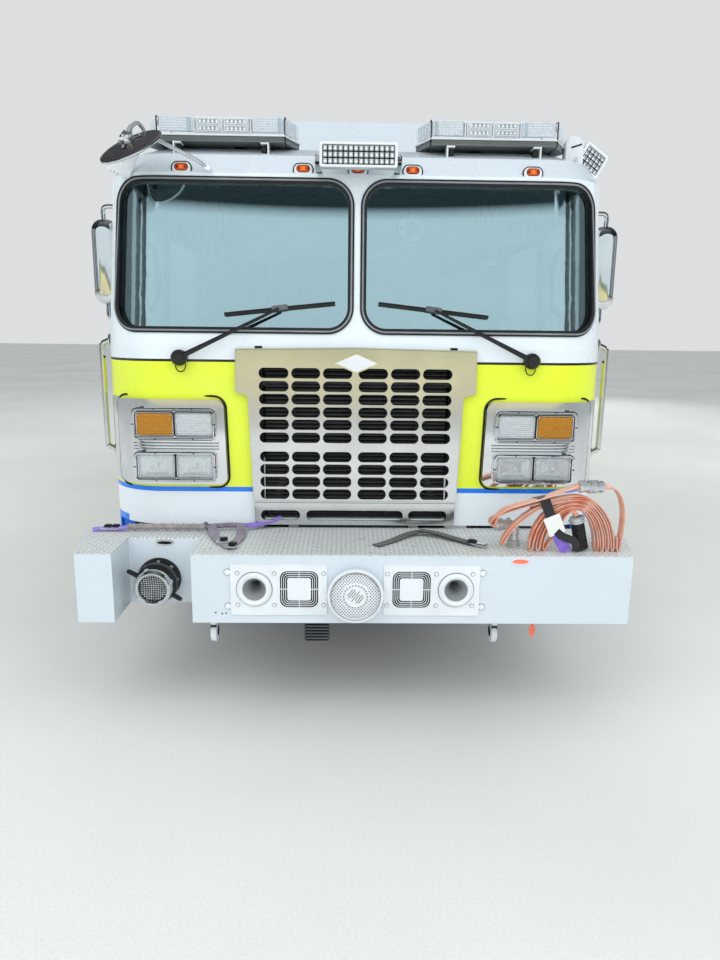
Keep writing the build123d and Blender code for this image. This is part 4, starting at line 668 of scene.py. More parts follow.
def moved(shape, x, y, z):
    """A shape moved before it is placed."""
    points, faces = shape
    return [(p[0] + x, p[1] + y, p[2] + z) for p in points], faces


def evaluated(thing):
    """A new mesh of what an object shows after its modifiers or its curve settings."""
    graph = bpy.context.evaluated_depsgraph_get()
    return bpy.data.meshes.new_from_object(thing.evaluated_get(graph))


def linked(name, data):
    """A new object in the scene."""
    thing = bpy.data.objects.new(name, data)
    bpy.context.scene.collection.objects.link(thing)
    return thing


class Form:
    """One piece of the scene: shapes with their looks, joined in one mesh."""

    def __init__(self, name, body="truck"):
        self.name, self.body = name, body
        self.points, self.faces, self.marks, self.looks = [], [], [], []

    def add(self, shape, look, at=None):
        """A shape drawn in millimetres goes to its place, or where it is drawn behind the bumper's face."""
        points, faces = shape
        at = at or place(0, 0, 0)
        base = len(self.points)
        if look not in self.looks:
            self.looks.append(look)
        self.points += [at @ Vector(p) for p in points]
        flip = at.determinant() < 0
        for f in faces:
            f = tuple(reversed(f)) if flip else f
            self.faces.append(tuple(base + i for i in f))
            self.marks.append(self.looks.index(look))

    def both(self, shape, look, at=None):
        """A shape at its place and its mirror image across the truck."""
        at = at or place(0, 0, 0)
        for flip in FLIPS.values():
            self.add(shape, look, flip @ at)

    def done(self, slot=None, stands_for=(), sharp=38):
        """The finished piece, riding on its body."""
        mesh = bpy.data.meshes.new(self.name)
        mesh.from_pydata([tuple(p) for p in self.points], [], self.faces)
        for look in self.looks:
            mesh.materials.append(LOOK[look])
        mesh.polygons.foreach_set("material_index", self.marks)
        mesh.shade_smooth()
        mesh.set_sharp_from_angle(angle=radians(sharp))
        mesh.validate()
        mesh.update()
        piece = linked(self.name, mesh)
        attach(piece, self.body)
        if stands_for:
            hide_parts(*stands_for)
        return piece


# The outer surface of a CAD node, to lay trim on
def surface_of(*nodes):
    """The search trees of CAD nodes at rest."""
    meshes = [frame["nodes"][n].data for n in nodes]
    return [
        BVHTree.FromPolygons([v.co.copy() for v in m.vertices], [tuple(p.vertices) for p in m.polygons])
        for m in meshes
    ]


def front_of(trees, x, z):
    """How far behind the bumper's face the nodes' front surface lies at a place."""
    hits = [t.ray_cast(Vector((x * MM, NOSE - 1, z * MM)), Vector((0, 1, 0)))[0] for t in trees]
    hits = [h.y for h in hits if h is not None]
    return (min(hits) - NOSE) / MM if hits else None


# Grille: slot edges and rows as on the part
GRILLE_OUT, GRILLE_SHEET, GRILLE_EDGE = 30, 4, 1.6
GRILLE_FOLD = 5
GRILLE_PEAK = 1638
GRILLE_RIGHT = [(551, 1628), (551, 1436), (494, 1420), (479, 926)]
SLOT_HEIGHT = 46
SLOT_COLUMNS = [(-446, -311), (-297, -166), (-152, -19), (12, 145), (160, 293), (307, 441)]
SLOT_ROWS = [1548, 1488, 1429, 1369, 1311, 1250, 1160, 1100, 1040, 981]
STRIP_HALF, STRIP_LOW, STRIP_HIGH, STRIP_BACK = 475, 809, 914, 6
STRIP_SLOTS = [(-447, -262), (-231, 229), (255, 439)]
STRIP_ROWS = [876]
BADGE_WIDE, BADGE_TALL, BADGE_Z = 110, 48, 1572
FIN_COUNT, FIN_PITCH, FIN_LOW, FIN_MIDDLE = 38, 19, 838, 1195


def slots(columns, rows):
    """Round-ended slots' outlines, in columns of (left, right edge) and rows given by their top edge."""
    end = SLOT_HEIGHT / 2 - 0.5
    return [
        shifted(rounded(high - low, SLOT_HEIGHT, end, 6), (low + high) / 2, top - SLOT_HEIGHT / 2)
        for top in rows
        for low, high in columns
    ]


def flat_plate(outline, holes, thick, edge):
    """A plate with holes in its drawing's plane, cut from a filled curve with rounded edges."""
    data = bpy.data.curves.new("plate_cut", "CURVE")
    data.dimensions, data.fill_mode = "2D", "BOTH"
    data.extrude, data.bevel_depth, data.bevel_resolution = thick / 2 * MM, edge * MM, 2
    data.offset = -edge * MM
    for line in (outline, *holes):
        spline = data.splines.new("POLY")
        spline.points.add(len(line) - 1)
        for target, (x, y) in zip(spline.points, line):
            target.co = (x * MM, y * MM, 0, 1)
        spline.use_cyclic_u = True
    drawn = linked("plate_cut", data)
    mesh = evaluated(drawn)
    bpy.data.objects.remove(drawn)
    shape = [tuple(v.co / MM) for v in mesh.vertices], [tuple(p.vertices) for p in mesh.polygons]
    bpy.data.meshes.remove(mesh)
    return shape


def make_grille():
    """Polished grille: a folded plate with round-ended slots, its lower strip and a bare badge plate."""
    outline = [(0, GRILLE_PEAK), *GRILLE_RIGHT, *[(-x, z) for x, z in reversed(GRILLE_RIGHT)]]
    low_strip = [
        (-STRIP_HALF, STRIP_LOW),
        (STRIP_HALF, STRIP_LOW),
        (STRIP_HALF + 2, STRIP_HIGH),
        (-STRIP_HALF - 2, STRIP_HIGH),
    ]
    form = Form("grille_plate")
    face = CAB_FACE - GRILLE_OUT
    for edge, holes, back in (
        (outline, slots(SLOT_COLUMNS, SLOT_ROWS), GRILLE_SHEET),
        (low_strip, slots(STRIP_SLOTS, STRIP_ROWS), GRILLE_SHEET + STRIP_BACK),
    ):
        sheet = flat_plate(edge, holes, GRILLE_SHEET, GRILLE_EDGE)
        form.add(sheet, "steel", place(0, face + back, 0, FRONT))
    for edge, depth, fold in (
        (outline, GRILLE_OUT - STRIP_BACK, -GRILLE_FOLD),
        (low_strip, GRILLE_OUT - 2 * STRIP_BACK, GRILLE_FOLD),
    ):
        inner = grown(edge, fold)
        loops = [layer(edge, 0), layer(edge, depth), layer(inner, depth), layer(inner, 0)]
        form.add(skin(loops, wrap=True), "steel", place(0, CAB_FACE, 0, FRONT))
    diamond = [(BADGE_WIDE, 0), (0, BADGE_TALL), (-BADGE_WIDE, 0), (0, -BADGE_TALL)]
    badge_at = place(0, face, BADGE_Z, FRONT)
    form.add(slab(diamond, -2, 5, 1.2), "chrome", badge_at)
    form.add(slab([(x * 0.86, z * 0.84) for x, z in diamond], 4, 6, 0.6), "plate", badge_at)
    # Near-black strips behind the grille's outer slot ends: painted shade
    form.both(box(34, 3, 830, 1), "dark", place(448, CAB_FACE - 6, 1230))
    form.done("polished_steel", ["grille"])


def make_radiator_fins():
    """Tilted fins, uprights and two hoses in front of a near-black back of painted shade, seen through the
    grille's slots.
    """
    form = Form("radiator_fins")
    for step in range(FIN_COUNT):
        at = place(0, CAB_FACE + 30, FIN_LOW + step * FIN_PITCH, (18, 0, 0))
        form.add(box(846, 26, 3.2, 0.8), "iron", at)
    for x in (-290, -150, 0, 150, 290):
        form.add(box(10, 34, 716, 2), "black", place(x, CAB_FACE + 42, FIN_MIDDLE))
    # A near-black sheet behind the fins: painted shade
    form.add(box(866, 4, 722, 1), "dark", place(0, CAB_FACE + 66, FIN_MIDDLE))
    for x in (-372, 372):
        hose = flowing([(x, 0, 0), (x, 6, 60), (x * 0.96, 10, 130), (x * 0.9, 6, 190)])
        form.add(tube(hose, 17, 12), "grey", place(0, CAB_FACE + 46, 850))
    form.done("black_paint")


# Headlamps: as on the part
LAMP_OUT = 44
LAMP_X = [(662, 832), (841, 1011)]
LAMP_Z = [(1232, 1341), (1034, 1147)]
FRAME_X = (648, 1030)
FRAME_Z = [(1212, 1362), (1017, 1158)]
BULB = [(0, 16), (5, 14), (8, 8), (8, -2), (5, -18), (0.5, -20)]
SEAL, TRIM = 4, 5
TRIM_LINES = (1169, 1183, 1197)


def add_lamp(frames, target, looks, at_x, at_z, face):
    """A lamp's seal, trim ring and screws, and the unit's reflector, bulb, ribs and lens."""
    shell, bulb, cover = looks
    x, z = sum(at_x) / 2, sum(at_z) / 2
    wide, tall = at_x[1] - at_x[0], at_z[1] - at_z[0]
    outline = rounded(wide + 2, tall + 2, 11, 5)
    frames.both(ring(grown(outline, SEAL), outline, -2, 5, 1.5), "rubber", place(x, face, z, FRONT))
    frames.both(ring(outline, grown(outline, -TRIM), -2, 8, 2), "chrome", place(x, face, z, FRONT))
    for sx in (-1, 1):
        for sz in (-1, 1):
            corner = place(x + sx * (wide / 2 - 9), face - 7, z + sz * (tall / 2 - 9), FRONT)
            frames.both(bolt(3.2, 2), "chrome", corner)
    target.both(bowl(wide - 6, tall - 6, 22), shell, place(x, face - 3, z, FRONT))
    target.both(lathe(BULB, 14), bulb, place(x, face + 4, z, FRONT))
    if cover == "clear":
        for step in range(-4, 5):
            target.both(box(2.2, 2, tall - 22, 0.5), "clear", place(x + step * 17, face - 4.5, z))
    target.both(crowned(wide - 8, tall - 8, 9, 4), cover, place(x, face - 2, z, FRONT))


def make_headlamps():
    """Lamp frames with rounded edges, their reflectors, bulbs and lenses, and the small trim round them."""
    frames, lamps, amber = Form("lamp_frames"), Form("headlamp_units"), Form("amber_turn_lamps")
    units = {
        (0, 0): (lamps, ("reflector", "bulb", "ribbed")),
        (0, 1): (amber, ("amber", "amber", "amber")),
        (1, 0): (lamps, ("reflector", "bulb", "clear")),
        (1, 1): (lamps, ("reflector", "bulb", "clear")),
    }
    face = CAB_FACE - LAMP_OUT
    middle, width = sum(FRAME_X) / 2, FRAME_X[1] - FRAME_X[0]
    for row, (low, high) in enumerate(FRAME_Z):
        centre, height = (low + high) / 2, high - low
        outer = rounded(width, height, 24, 6)
        inner = rounded(width - 26, height - 26, 14, 6)
        frames.both(ring(outer, inner, -3, 9, 5), "chrome", place(middle, face, centre, FRONT))
        for dx in (-88, 88):
            for dz in (-height / 2 + 6, height / 2 - 6):
                frames.both(box(5, 12, 5, 0.8), "black", place(middle + dx, face - 7, centre + dz))
        for dx in (-width / 2 + 5, width / 2 - 5):
            frames.both(box(10, 12, 5, 0.8), "black", place(middle + dx, face - 7, centre))
        for column, lamp_x in enumerate(LAMP_X):
            target, looks = units[row, column]
            add_lamp(frames, target, looks, lamp_x, LAMP_Z[row], face)
    for z in TRIM_LINES:
        frames.both(box(395, 6, 5, 2), "chrome", place(middle - 4, CAB_FACE - 29, z))
    frames.done("chrome")
    lamps.done("clear_lens", ["clear_lamps"])
    amber.done("amber_lens", ["amber_lamps"])


BEZEL_WIDE, BEZEL_TALL, BEZEL_CORNER = 540, 432, 56
BEZEL_X, BEZEL_Z = 864, 1198
BEZEL_INNER, BEZEL_LEAN, BEZEL_UPRIGHT = 700, 0.0275, 1000
WRAP_LOW, WRAP_HIGH, WRAP_START = 996, 1400, 1112
WRAP_COLUMNS, WRAP_ROWS = 12, 8


def make_bezel_edge():
    """The black gap line round each headlamp bezel, laid on the cab's skin, leaning at its inner side."""
    trees = surface_of("cab_front", "cab_sides")
    form = Form("bezel_gap_line")
    line = []
    for x, z in shifted(rounded(BEZEL_WIDE, BEZEL_TALL, BEZEL_CORNER, 8), BEZEL_X, BEZEL_Z):
        if x < BEZEL_INNER:
            x += (z - BEZEL_UPRIGHT) * BEZEL_LEAN
        y = front_of(trees, x, z)
        if y is not None:
            line.append((x, y - 1, z))
    form.both(tube(line + line[:1], 5, 8, 1.0, (0, 1, 0)), "rubber")
    form.done("rubber")


def make_bezel_wraps():
    """The chrome that carries each headlamp bezel round the cab's corner."""
    trees = surface_of("cab_front", "cab_sides")
    form = Form("bezel_corner_wraps")
    reach = CAB_HALF - 2 - WRAP_START
    heights = [WRAP_LOW + (WRAP_HIGH - WRAP_LOW) * k / WRAP_ROWS for k in range(WRAP_ROWS + 1)]
    loops = []
    for i in range(WRAP_COLUMNS + 1):
        x = WRAP_START + reach * sin(pi / 2 * i / WRAP_COLUMNS)
        depths = [front_of(trees, x, z) for z in heights]
        if None in depths:
            continue
        outer = [(x + 3, y - 4, z) for y, z in zip(depths, heights)]
        loops.append(outer + [(x, y + 3, z) for y, z in reversed(list(zip(depths, heights)))])
    form.both(skin(loops), "chrome")
    form.done("chrome")


PANE_IN, PANE_OUT, PANE_TOP_OUT = 14, 1138, 1100
PANE_LOW, PANE_HIGH = 1700, 2385
PANE_CORNER, STRIP_INWARD = 120, 12


def make_gasket_highlight():
    """A grey line laid along the middle of the windscreens' black rubber: a painted highlight."""
    trees = surface_of("window_gaskets")
    form = Form("gasket_painted_highlight")
    low, high = PANE_LOW + PANE_CORNER, PANE_HIGH - PANE_CORNER
    corners = [
        (PANE_TOP_OUT - PANE_CORNER, high),
        (PANE_IN + PANE_CORNER, high),
        (PANE_IN + PANE_CORNER, low),
        (PANE_OUT - PANE_CORNER, low),
    ]
    points = []
    for index, (cx, cz) in enumerate(corners):
        for step in range(11):
            x, z = polar(PANE_CORNER - STRIP_INWARD, 90 * index + 9 * step)
            points.append((cx + x, cz + z))
    line = []
    for a, b in zip(points, points[1:] + points[:1]):
        pieces = max(1, int(hypot(b[0] - a[0], b[1] - a[1]) / 30))
        for k in range(pieces):
            x, z = a[0] + (b[0] - a[0]) * k / pieces, a[1] + (b[1] - a[1]) * k / pieces
            y = front_of(trees, x, z)
            if y is not None:
                line.append((x, y - 0.5, z))
    # Painted highlight: a grey line along the black rubber
    form.both(tube(line + line[:1], 4.2, 8, 0.6, (0, 1, 0)), "strip")
    form.done("rubber")


# Roof lamps
MARKERS = [0, 245, 787]
MARKER_Z = 2417
BAR_INNER, BAR_OUTER = 271, 985
SEAM_IN, SEAM_OUT = 331, 908
BAR_NEAR, BAR_DEPTH = CAB_FACE + 150, 300
BAR_BASE, BAR_LENS, BAR_TOP = 2549, 2578, 2658
BAR_LIP, BAR_INSET = 6, 5
BAR_FEET = {408: 1, 835: -1}
BAR_FOOT_LOW = 2492
BAR_MODULES = [
    (0.015, 0.28, "pebbled"),
    (0.3, 0.5, "cells"),
    (0.515, 0.715, "cells"),
    (0.745, 0.985, "pebbled"),
]
BAR_DIVIDERS = (0.29, 0.507, 0.73)


def make_markers():
    """Oval amber marker lamps: pale bezels in thin dark gaskets, the lens set high in each."""
    form = Form("marker_lamps")
    trees = surface_of("cab_front", "cab_roof")
    outline = rounded(84, 54, 24, 8)
    glass = rounded(56, 28, 13, 8)
    shapes = [
        (slab(grown(outline, 4.5), -4, 7, 1), "rubber"),
        (slab(outline, 0, 11, 5), "plate"),
        (moved(slab(grown(glass, 2.5), 9, 12.5, 1), 0, 5, 0), "dark"),
        (moved(crowned(56, 28, 13, 4), 0, 5, 10.5), "marker"),
        (moved(box(17, 15, 4, 1.5), 0, 5, 15.5), "marker_core"),
        (moved(box(9, 15, 3, 1), -20, 5, 15), "dark_amber"),
        (moved(box(9, 15, 3, 1), 20, 5, 15), "dark_amber"),
    ]
    for x in MARKERS:
        y = front_of(trees, x, MARKER_Z) or CAB_FACE + 62
        put = form.both if x else form.add
        for shape, look in shapes:
            put(shape, look, place(x, y, MARKER_Z, (84, 0, 0)))
    form.done("amber_lens")


def led_field(form, width, height, columns, rows, at, depth=14):
    """Rows of small square reflector cups with a lit cell in each, on a dark board."""
    form.add(slab(rounded(width, height, 4, 2), -depth - 3, -depth, 1), "dark", at)
    pitch_x, pitch_y = width / columns, height / rows
    for column in range(columns):
        for row in range(rows):
            x = (column + 0.5) * pitch_x - width / 2
            y = (row + 0.5) * pitch_y - height / 2
            cup = bowl(pitch_x * 0.82, pitch_y * 0.82, depth * 0.9, 0.35)
            form.add(moved(cup, x, y, 0), "reflector", at)
            form.add(moved(bolt(min(pitch_x, pitch_y) * 0.2, 4), x, y, -depth * 0.8), "led", at)


def add_light_bar(form, at):
    """One bar: pale base on folded feet, and a clear lens over four modules between dark seams."""
    middle, far = BAR_NEAR + BAR_DEPTH / 2, BAR_NEAR + BAR_DEPTH
    outline = [
        (BAR_OUTER, middle),
        (SEAM_OUT, far),
        (SEAM_IN, far),
        (BAR_INNER, middle),
        (SEAM_IN, BAR_NEAR),
        (SEAM_OUT, BAR_NEAR),
    ]
    inset = grown(outline, -BAR_INSET)
    span = SEAM_OUT - SEAM_IN
    lens_middle = (BAR_LENS + BAR_TOP) / 2
    shell = [
        layer(inset, BAR_LENS),
        layer(inset, BAR_TOP - 10),
        layer(grown(inset, -3), BAR_TOP - 3),
        layer(grown(inset, -10), BAR_TOP),
    ]
    seam = [(BAR_NEAR + 4, BAR_LENS), (BAR_NEAR + 4, BAR_TOP - 9), (BAR_NEAR + 12, BAR_TOP - 3)]
    seam += [(2 * middle - y, z) for y, z in reversed(seam)]

    def here(x, y, z, axis="Z", degrees=0):
        turn = Matrix.Rotation(radians(degrees), 4, axis)
        return at @ Matrix.Translation((x, y, z)) @ turn

    form.add(slab(inset, BAR_BASE, BAR_LENS - BAR_LIP, 3), "bar_base", at)
    form.add(slab(outline, BAR_LENS - BAR_LIP, BAR_LENS, 1.5), "pale", at)
    form.add(skin(shell), "bar_lens", at)
    form.add(slab(grown(outline, -30), BAR_LENS, BAR_LENS + 5, 1), "pale", at)
    form.add(slab(grown(outline, -30), BAR_TOP - 9, BAR_TOP - 6, 1), "pale", at)
    for x in (SEAM_IN, SEAM_OUT):
        form.add(band([(x, y, z) for y, z in seam], 5, 2.5, (1, 0, 0)), "dark", at)
        low_seam = box(5, BAR_DEPTH - 6, BAR_LENS - BAR_BASE + 1, 1)
        form.add(low_seam, "dark", here(x, middle, (BAR_BASE + BAR_LENS) / 2 - 1))
    for end_x, turn in (((SEAM_OUT + BAR_OUTER) / 2 - 10, 66), ((SEAM_IN + BAR_INNER) / 2 + 10, -66)):
        form.add(box(120, 8, 62, 2), "pebbled", here(end_x, BAR_NEAR + 76, lens_middle, "Z", turn))
    for low, high, kind in BAR_MODULES:
        width = (high - low) * span
        x = SEAM_OUT - (low + high) / 2 * span
        module = here(x, BAR_NEAR + 15, lens_middle + 3, "X", 90)
        if kind == "pebbled":
            form.add(slab(rounded(width, 60, 4, 3), -10, 0, 1.5), "pebbled", module)
            form.add(moved(box(width * 0.1, 60, 14, 1), -width * 0.38, 0, -3), "bar_blue", module)
            continue
        form.add(slab(rounded(width, 66, 5, 3), -14, -6, 1.5), "pale", module)
        for lift in (-15, 15):
            outer = rounded(width * 0.9, 26, 9, 4)
            form.add(moved(ring(outer, grown(outer, -5), -6, 3, 2), 0, lift, 0), "pale", module)
            led_field(form, width * 0.82, 18, 5, 1, module @ Matrix.Translation((0, lift, -1)), 5)
    for share in BAR_DIVIDERS:
        divider = box(5, 8, BAR_TOP - BAR_LENS - 8, 1)
        form.add(divider, "pale", here(SEAM_OUT - share * span, BAR_NEAR + 14, lens_middle))
    # A near-black oval on the base's underside: painted shade of a hole
    drain = slab(ellipse(64, 30, 24), BAR_BASE - 2, BAR_BASE + 1, 0.6)
    form.add(drain, "dark", here(SEAM_OUT - 0.62 * span, middle - 20, 0))
    form.add(box(span, 4, 5, 1), "pale", here((SEAM_IN + SEAM_OUT) / 2, middle + 70, BAR_BASE))
    for x, inward in BAR_FEET.items():
        for y in (BAR_NEAR + 34, far - 34):
            upright = box(6, 62, BAR_BASE - BAR_FOOT_LOW, 1)
            form.add(upright, "plate", here(x, y, (BAR_BASE + BAR_FOOT_LOW) / 2))
            form.add(box(34, 62, 6, 1), "plate", here(x + inward * 17, y, BAR_BASE - 5))
            form.add(box(34, 62, 5, 1), "plate", here(x + inward * 14, y, BAR_FOOT_LOW + 2))
            form.add(box(24, 40, 30, 4), "black", here(x + inward * 20, y + 6, BAR_BASE - 27))
            form.add(bolt(7, 8), "chrome", here(x + inward * 20, y + 6, BAR_FOOT_LOW + 4))


def make_light_bars():
    """The two light bars on the roof's front corners."""
    form = Form("light_bar_units")
    for flip in FLIPS.values():
        add_light_bar(form, flip @ place(0, 0, 0))
    form.done("clear_lens", ["light_bars"])


FLOOD_Y, FLOOD_Z = CAB_FACE - 62, 2455
CORNER_Y = CAB_FACE + 290


def make_floods():
    """The flat flood lamp over the centre post, with its cooling fins and bent arms."""
    form = Form("flood_lamps")
    outline = rounded(336, 102, 10, 4)
    at = place(0, FLOOD_Y, FLOOD_Z, FRONT)
    form.add(slab(outline, -58, -14, 4), "pale", at)
    form.add(ring(outline, rounded(312, 80, 6, 4), -16, 0, 2), "plate", at)
    led_field(form, 310, 78, 14, 3, place(0, FLOOD_Y + 3, FLOOD_Z, FRONT), 10)
    for step in range(11):
        form.add(box(312, 30, 2, 0.5), "pale", place(0, FLOOD_Y + 74, 2412 + step * 8.6))
    for x, way in ((-176, RIGHT), (176, LEFT)):
        arm = [
            (x, FLOOD_Y + 30, FLOOD_Z),
            (x, FLOOD_Y + 60, 2430),
            (x * 0.98, FLOOD_Y + 100, 2404),
            (x * 0.95, FLOOD_Y + 136, 2398),
        ]
        form.add(band(flowing(arm, 5), 26, 4, (1, 0, 0)), "chrome")
        form.add(bolt(8, 5), "chrome", place(x * 1.01, FLOOD_Y + 30, FLOOD_Z, way))
    form.done("clear_lens")


def make_corner_flood():
    """The two-part lamp on the left front corner of the roof."""
    form = Form("corner_flood")
    arch = [(44 * cos(a), 22 + 44 * sin(a)) for a in (step / 8 * pi for step in range(1, 8))]
    shield = [(44, -66), (44, 22), *arch, (-44, 22), (-44, -66)]
    form.add(slab(shield, -26, 26, 5), "pale", place(1022, CORNER_Y, 2559, FRONT))
    form.add(bolt(9, 6), "chrome", place(1030, CORNER_Y - 27, 2520, FRONT))
    form.add(box(52, 3, 7, 1), "dark", place(1030, CORNER_Y - 27, 2580, (0, -18, 0)))
    lamp = place(1116, CORNER_Y - 6, 2521, (90, 31, 12))
    outline = rounded(132, 122, 12, 5)
    form.add(slab(outline, -70, -18, 6), "pale", lamp)
    form.add(ring(outline, rounded(106, 94, 6, 5), -20, 4, 3), "plate", lamp)
    led_field(form, 105, 93, 5, 4, lamp, 14)
    for step in range(6):
        form.add(moved(box(4, 116, 26, 1), -50 + step * 20, 0, -82), "pale", lamp)
    form.add(box(50, 44, 70, 6), "pale", place(1052, CORNER_Y + 26, 2478, (0, 12, 0)))
    form.add(box(96, 60, 10, 3), "pale", place(1052, CORNER_Y + 20, 2448, (0, 14, 0)))
    form.done("clear_lens")


# Mirrors
NOSE_MIRROR = (-953, 320, 2460)
NOSE_MIRROR_LEAN = (("X", 32), ("Y", -19))
NOSE_MIRROR_FOOT = (-674, CAB_FACE + 62, 2421)
FAN_TOP = (-978, CAB_FACE + 84, 2472)
FAN_LOW, FAN_HIGH, FAN_FLUTES = (-1112, 2412), (-1034, 2380), 6
MIRROR_Y = CAB_FACE + 475
MIRROR_IN, MIRROR_OUT = 1205, 1335
MIRROR_LOW, MIRROR_HIGH = 1835, 2250
ARM_ROOTS = ((1760, MIRROR_LOW + 6, -1), (2310, MIRROR_HIGH - 6, 1))


def make_door_mirrors():
    """Tall bright mirror heads with round ends, on bent tube arms, one on each front door."""
    x, z = (MIRROR_IN + MIRROR_OUT) / 2, (MIRROR_LOW + MIRROR_HIGH) / 2
    outline = rounded(MIRROR_OUT - MIRROR_IN, MIRROR_HIGH - MIRROR_LOW, 55, 8)
    loops = [layer(grown(outline, -2), -34), layer(outline, -28), layer(outline, -6)]
    for share, lift in ((0.97, 8), (0.88, 22), (0.72, 31), (0.45, 35)):
        loops.append(layer([(px * share, py * (1 - (1 - share) * 0.35)) for px, py in outline], lift))
    for side, name in SIDES.items():
        form = Form(f"mirror_head_{name}", f"front_door_{name}")
        flip = FLIPS[side]
        front, back = flip @ place(x, MIRROR_Y, z, FRONT), flip @ place(x, MIRROR_Y, z, REAR)
        drawn = flip @ place(0, 0, 0)
        form.add(skin(loops), "chrome", front)
        form.add(slab(grown(outline, -9), -36, -33, 0.8), "mirror", front)
        form.add(ring(grown(outline, -3), grown(outline, -10), 30, 36, 2), "rubber", back)
        for root_z, end_z, bend in ARM_ROOTS:
            root_x = 1200 - 40 * max(0, root_z - 1640) / 760
            arm = [
                (root_x + 2, MIRROR_Y, root_z),
                (root_x + 34, MIRROR_Y, root_z),
                (x - 18, MIRROR_Y, root_z + bend * 0.5),
                (x, MIRROR_Y, root_z - bend * 16),
                (x, MIRROR_Y, end_z),
            ]
            form.add(tube(flowing(arm, 6), 11, 14, 1.0, (0, 1, 0)), "chrome", drawn)
            foot = lathe([(24, 0), (24, 4), (18, 9), (13, 12), (0, 12)], 24)
            form.add(foot, "chrome", flip @ place(root_x + 1.6, MIRROR_Y, root_z, LEFT))
        pole = [(x, MIRROR_Y, 1776), (x, MIRROR_Y, 2294)]
        form.add(tube(pole, 11, 14, 1.0, (0, 1, 0)), "chrome", drawn)
        form.done("chrome", [f"mirror_{name}"])


def make_nose_mirror():
    """The round mirror over the right corner: dark dished back, bright rim, knuckle, bent arms and fan."""
    form = Form("round_mirror")
    head = place(*NOSE_MIRROR)
    for axis, angle in NOSE_MIRROR_LEAN:
        head = head @ Matrix.Rotation(radians(angle), 4, axis)
    back = [(138, 2), (132, 8), (118, 11), (96, 13), (70, 17), (44, 21), (22, 23), (0, 23)]
    form.add(lathe(back, 56), "dome", head)
    form.add(hoop(135, 6.5, 72, 12), "chrome", head)
    glass = [(0, -2), (132, -2), (130, -6), (100, -14), (60, -18), (0, -20)]
    form.add(lathe(glass, 56), "shaded_glass", head)
    boss = [(30, 20), (30, 25), (24, 27), (16, 28), (16, 44), (12, 50), (0, 50)]
    form.add(lathe(boss, 28), "chrome", head)
    for turn in range(3):
        spoke = head @ Matrix.Rotation(radians(120 * turn + 25), 4, "Z")
        form.add(moved(box(74, 15, 6, 2.5), 30, 0, 24), "chrome", spoke)
        form.add(moved(bolt(6, 5), 56, 0, 26), "chrome", spoke)
    top = head @ Matrix.Translation((0, 0, 44))
    form.add(box(44, 30, 24, 5), "chrome", top)
    form.add(box(12, 44, 14, 3), "chrome", top @ Matrix.Translation((0, 0, 12)))
    end = top.to_translation() / MM
    end.y -= NOSE / MM
    arm = [
        NOSE_MIRROR_FOOT,
        (-720, 462, 2448),
        (-860, 446, 2512),
        (-915, 440, 2541),
        (-930, 424, 2562),
        (-942, 398, 2572),
        (-952, 350, 2548),
        tuple(end),
    ]
    form.add(tube(flowing(arm, 8), 8.5, 14, 1.0, (0, 1, 0)), "coupling")
    x, y, z = NOSE_MIRROR_FOOT
    form.add(box(30, 12, 26, 4), "plate", place(x + 6, y - 2, z - 4, (-20, 25, 0)))
    brace = [FAN_TOP, (-990, 480, 2505), (-978, 420, 2552), (-960, 352, 2548), tuple(end)]
    form.add(tube(flowing(brace, 8), 6.5, 12, 1.0, (0, 1, 0)), "coupling")
    for step in range(FAN_FLUTES):
        share = step / (FAN_FLUTES - 1)
        low_x, low_z = (a + (b - a) * share for a, b in zip(FAN_LOW, FAN_HIGH))
        flute = [FAN_TOP, (low_x, FAN_TOP[1] + 14, low_z)]
        form.add(tube(flute, 6, 10, 0.6, (0, 1, 0), 1.9), "plate")
    form.done("black_plastic", ["nose_mirror"])


# Wipers
WIPER_PIVOT = (808, CAB_FACE, 1589)
WIPER_TIP = (350, 1812)
BLADE_IN, BLADE_OUT = (99, 1839), (602, 1784)


def make_wipers():
    """Pivot caps, tapered arms, blades with their rubbers and the washer hose loops."""
    form = Form("wiper_sets")
    glass = surface_of("fixed_windows")
    cap = [(36, 0), (37, 22), (34, 40), (24, 50), (0, 52)]
    form.both(lathe(cap, 28), "black", place(*WIPER_PIVOT, FRONT))
    arm = []
    for share in (0, 0.12, 0.3, 0.55, 0.8, 1.0):
        x = WIPER_PIVOT[0] + (WIPER_TIP[0] - WIPER_PIVOT[0]) * share
        z = WIPER_PIVOT[2] + (WIPER_TIP[1] - WIPER_PIVOT[2]) * share
        surface = front_of(glass, x, max(z, 1740)) or CAB_FACE + 20
        y = min(CAB_FACE - 36, surface - 34) if share > 0.4 else CAB_FACE - 40
        arm.append((x, y, z))
    form.both(tube(flowing(arm, 5), 13, 10, 0.55, (0, 1, 0), 0.45), "black")
    blade = []
    for share in [i / 10 for i in range(11)]:
        x, z = (a + (b - a) * share for a, b in zip(BLADE_IN, BLADE_OUT))
        surface = front_of(glass, x, z)
        blade.append((x, (surface or CAB_FACE + 30) - 14, z))
    form.both(tube(blade, 9, 8, 0.9, (0, 1, 0)), "black")
    form.both(tube([(x, y + 9, z) for x, y, z in blade], 4, 6, 0.5, (0, 0, 1)), "rubber")
    x, y, z = blade[5]
    form.both(box(74, 20, 26, 5), "grey", place(x, y - 6, z + 4, (0, 7, 0)))
    washer_hose = [
        (790, CAB_FACE - 30, 1585),
        (776, CAB_FACE - 34, 1560),
        (786, CAB_FACE - 30, 1532),
        (812, CAB_FACE - 24, 1528),
        (826, CAB_FACE - 16, 1552),
        (818, CAB_FACE - 4, 1580),
    ]
    form.both(tube(flowing(washer_hose, 7), 2.6, 8, 1.0, (0, 1, 0)), "rubber")
    form.done("black_plastic", ["wipers"])


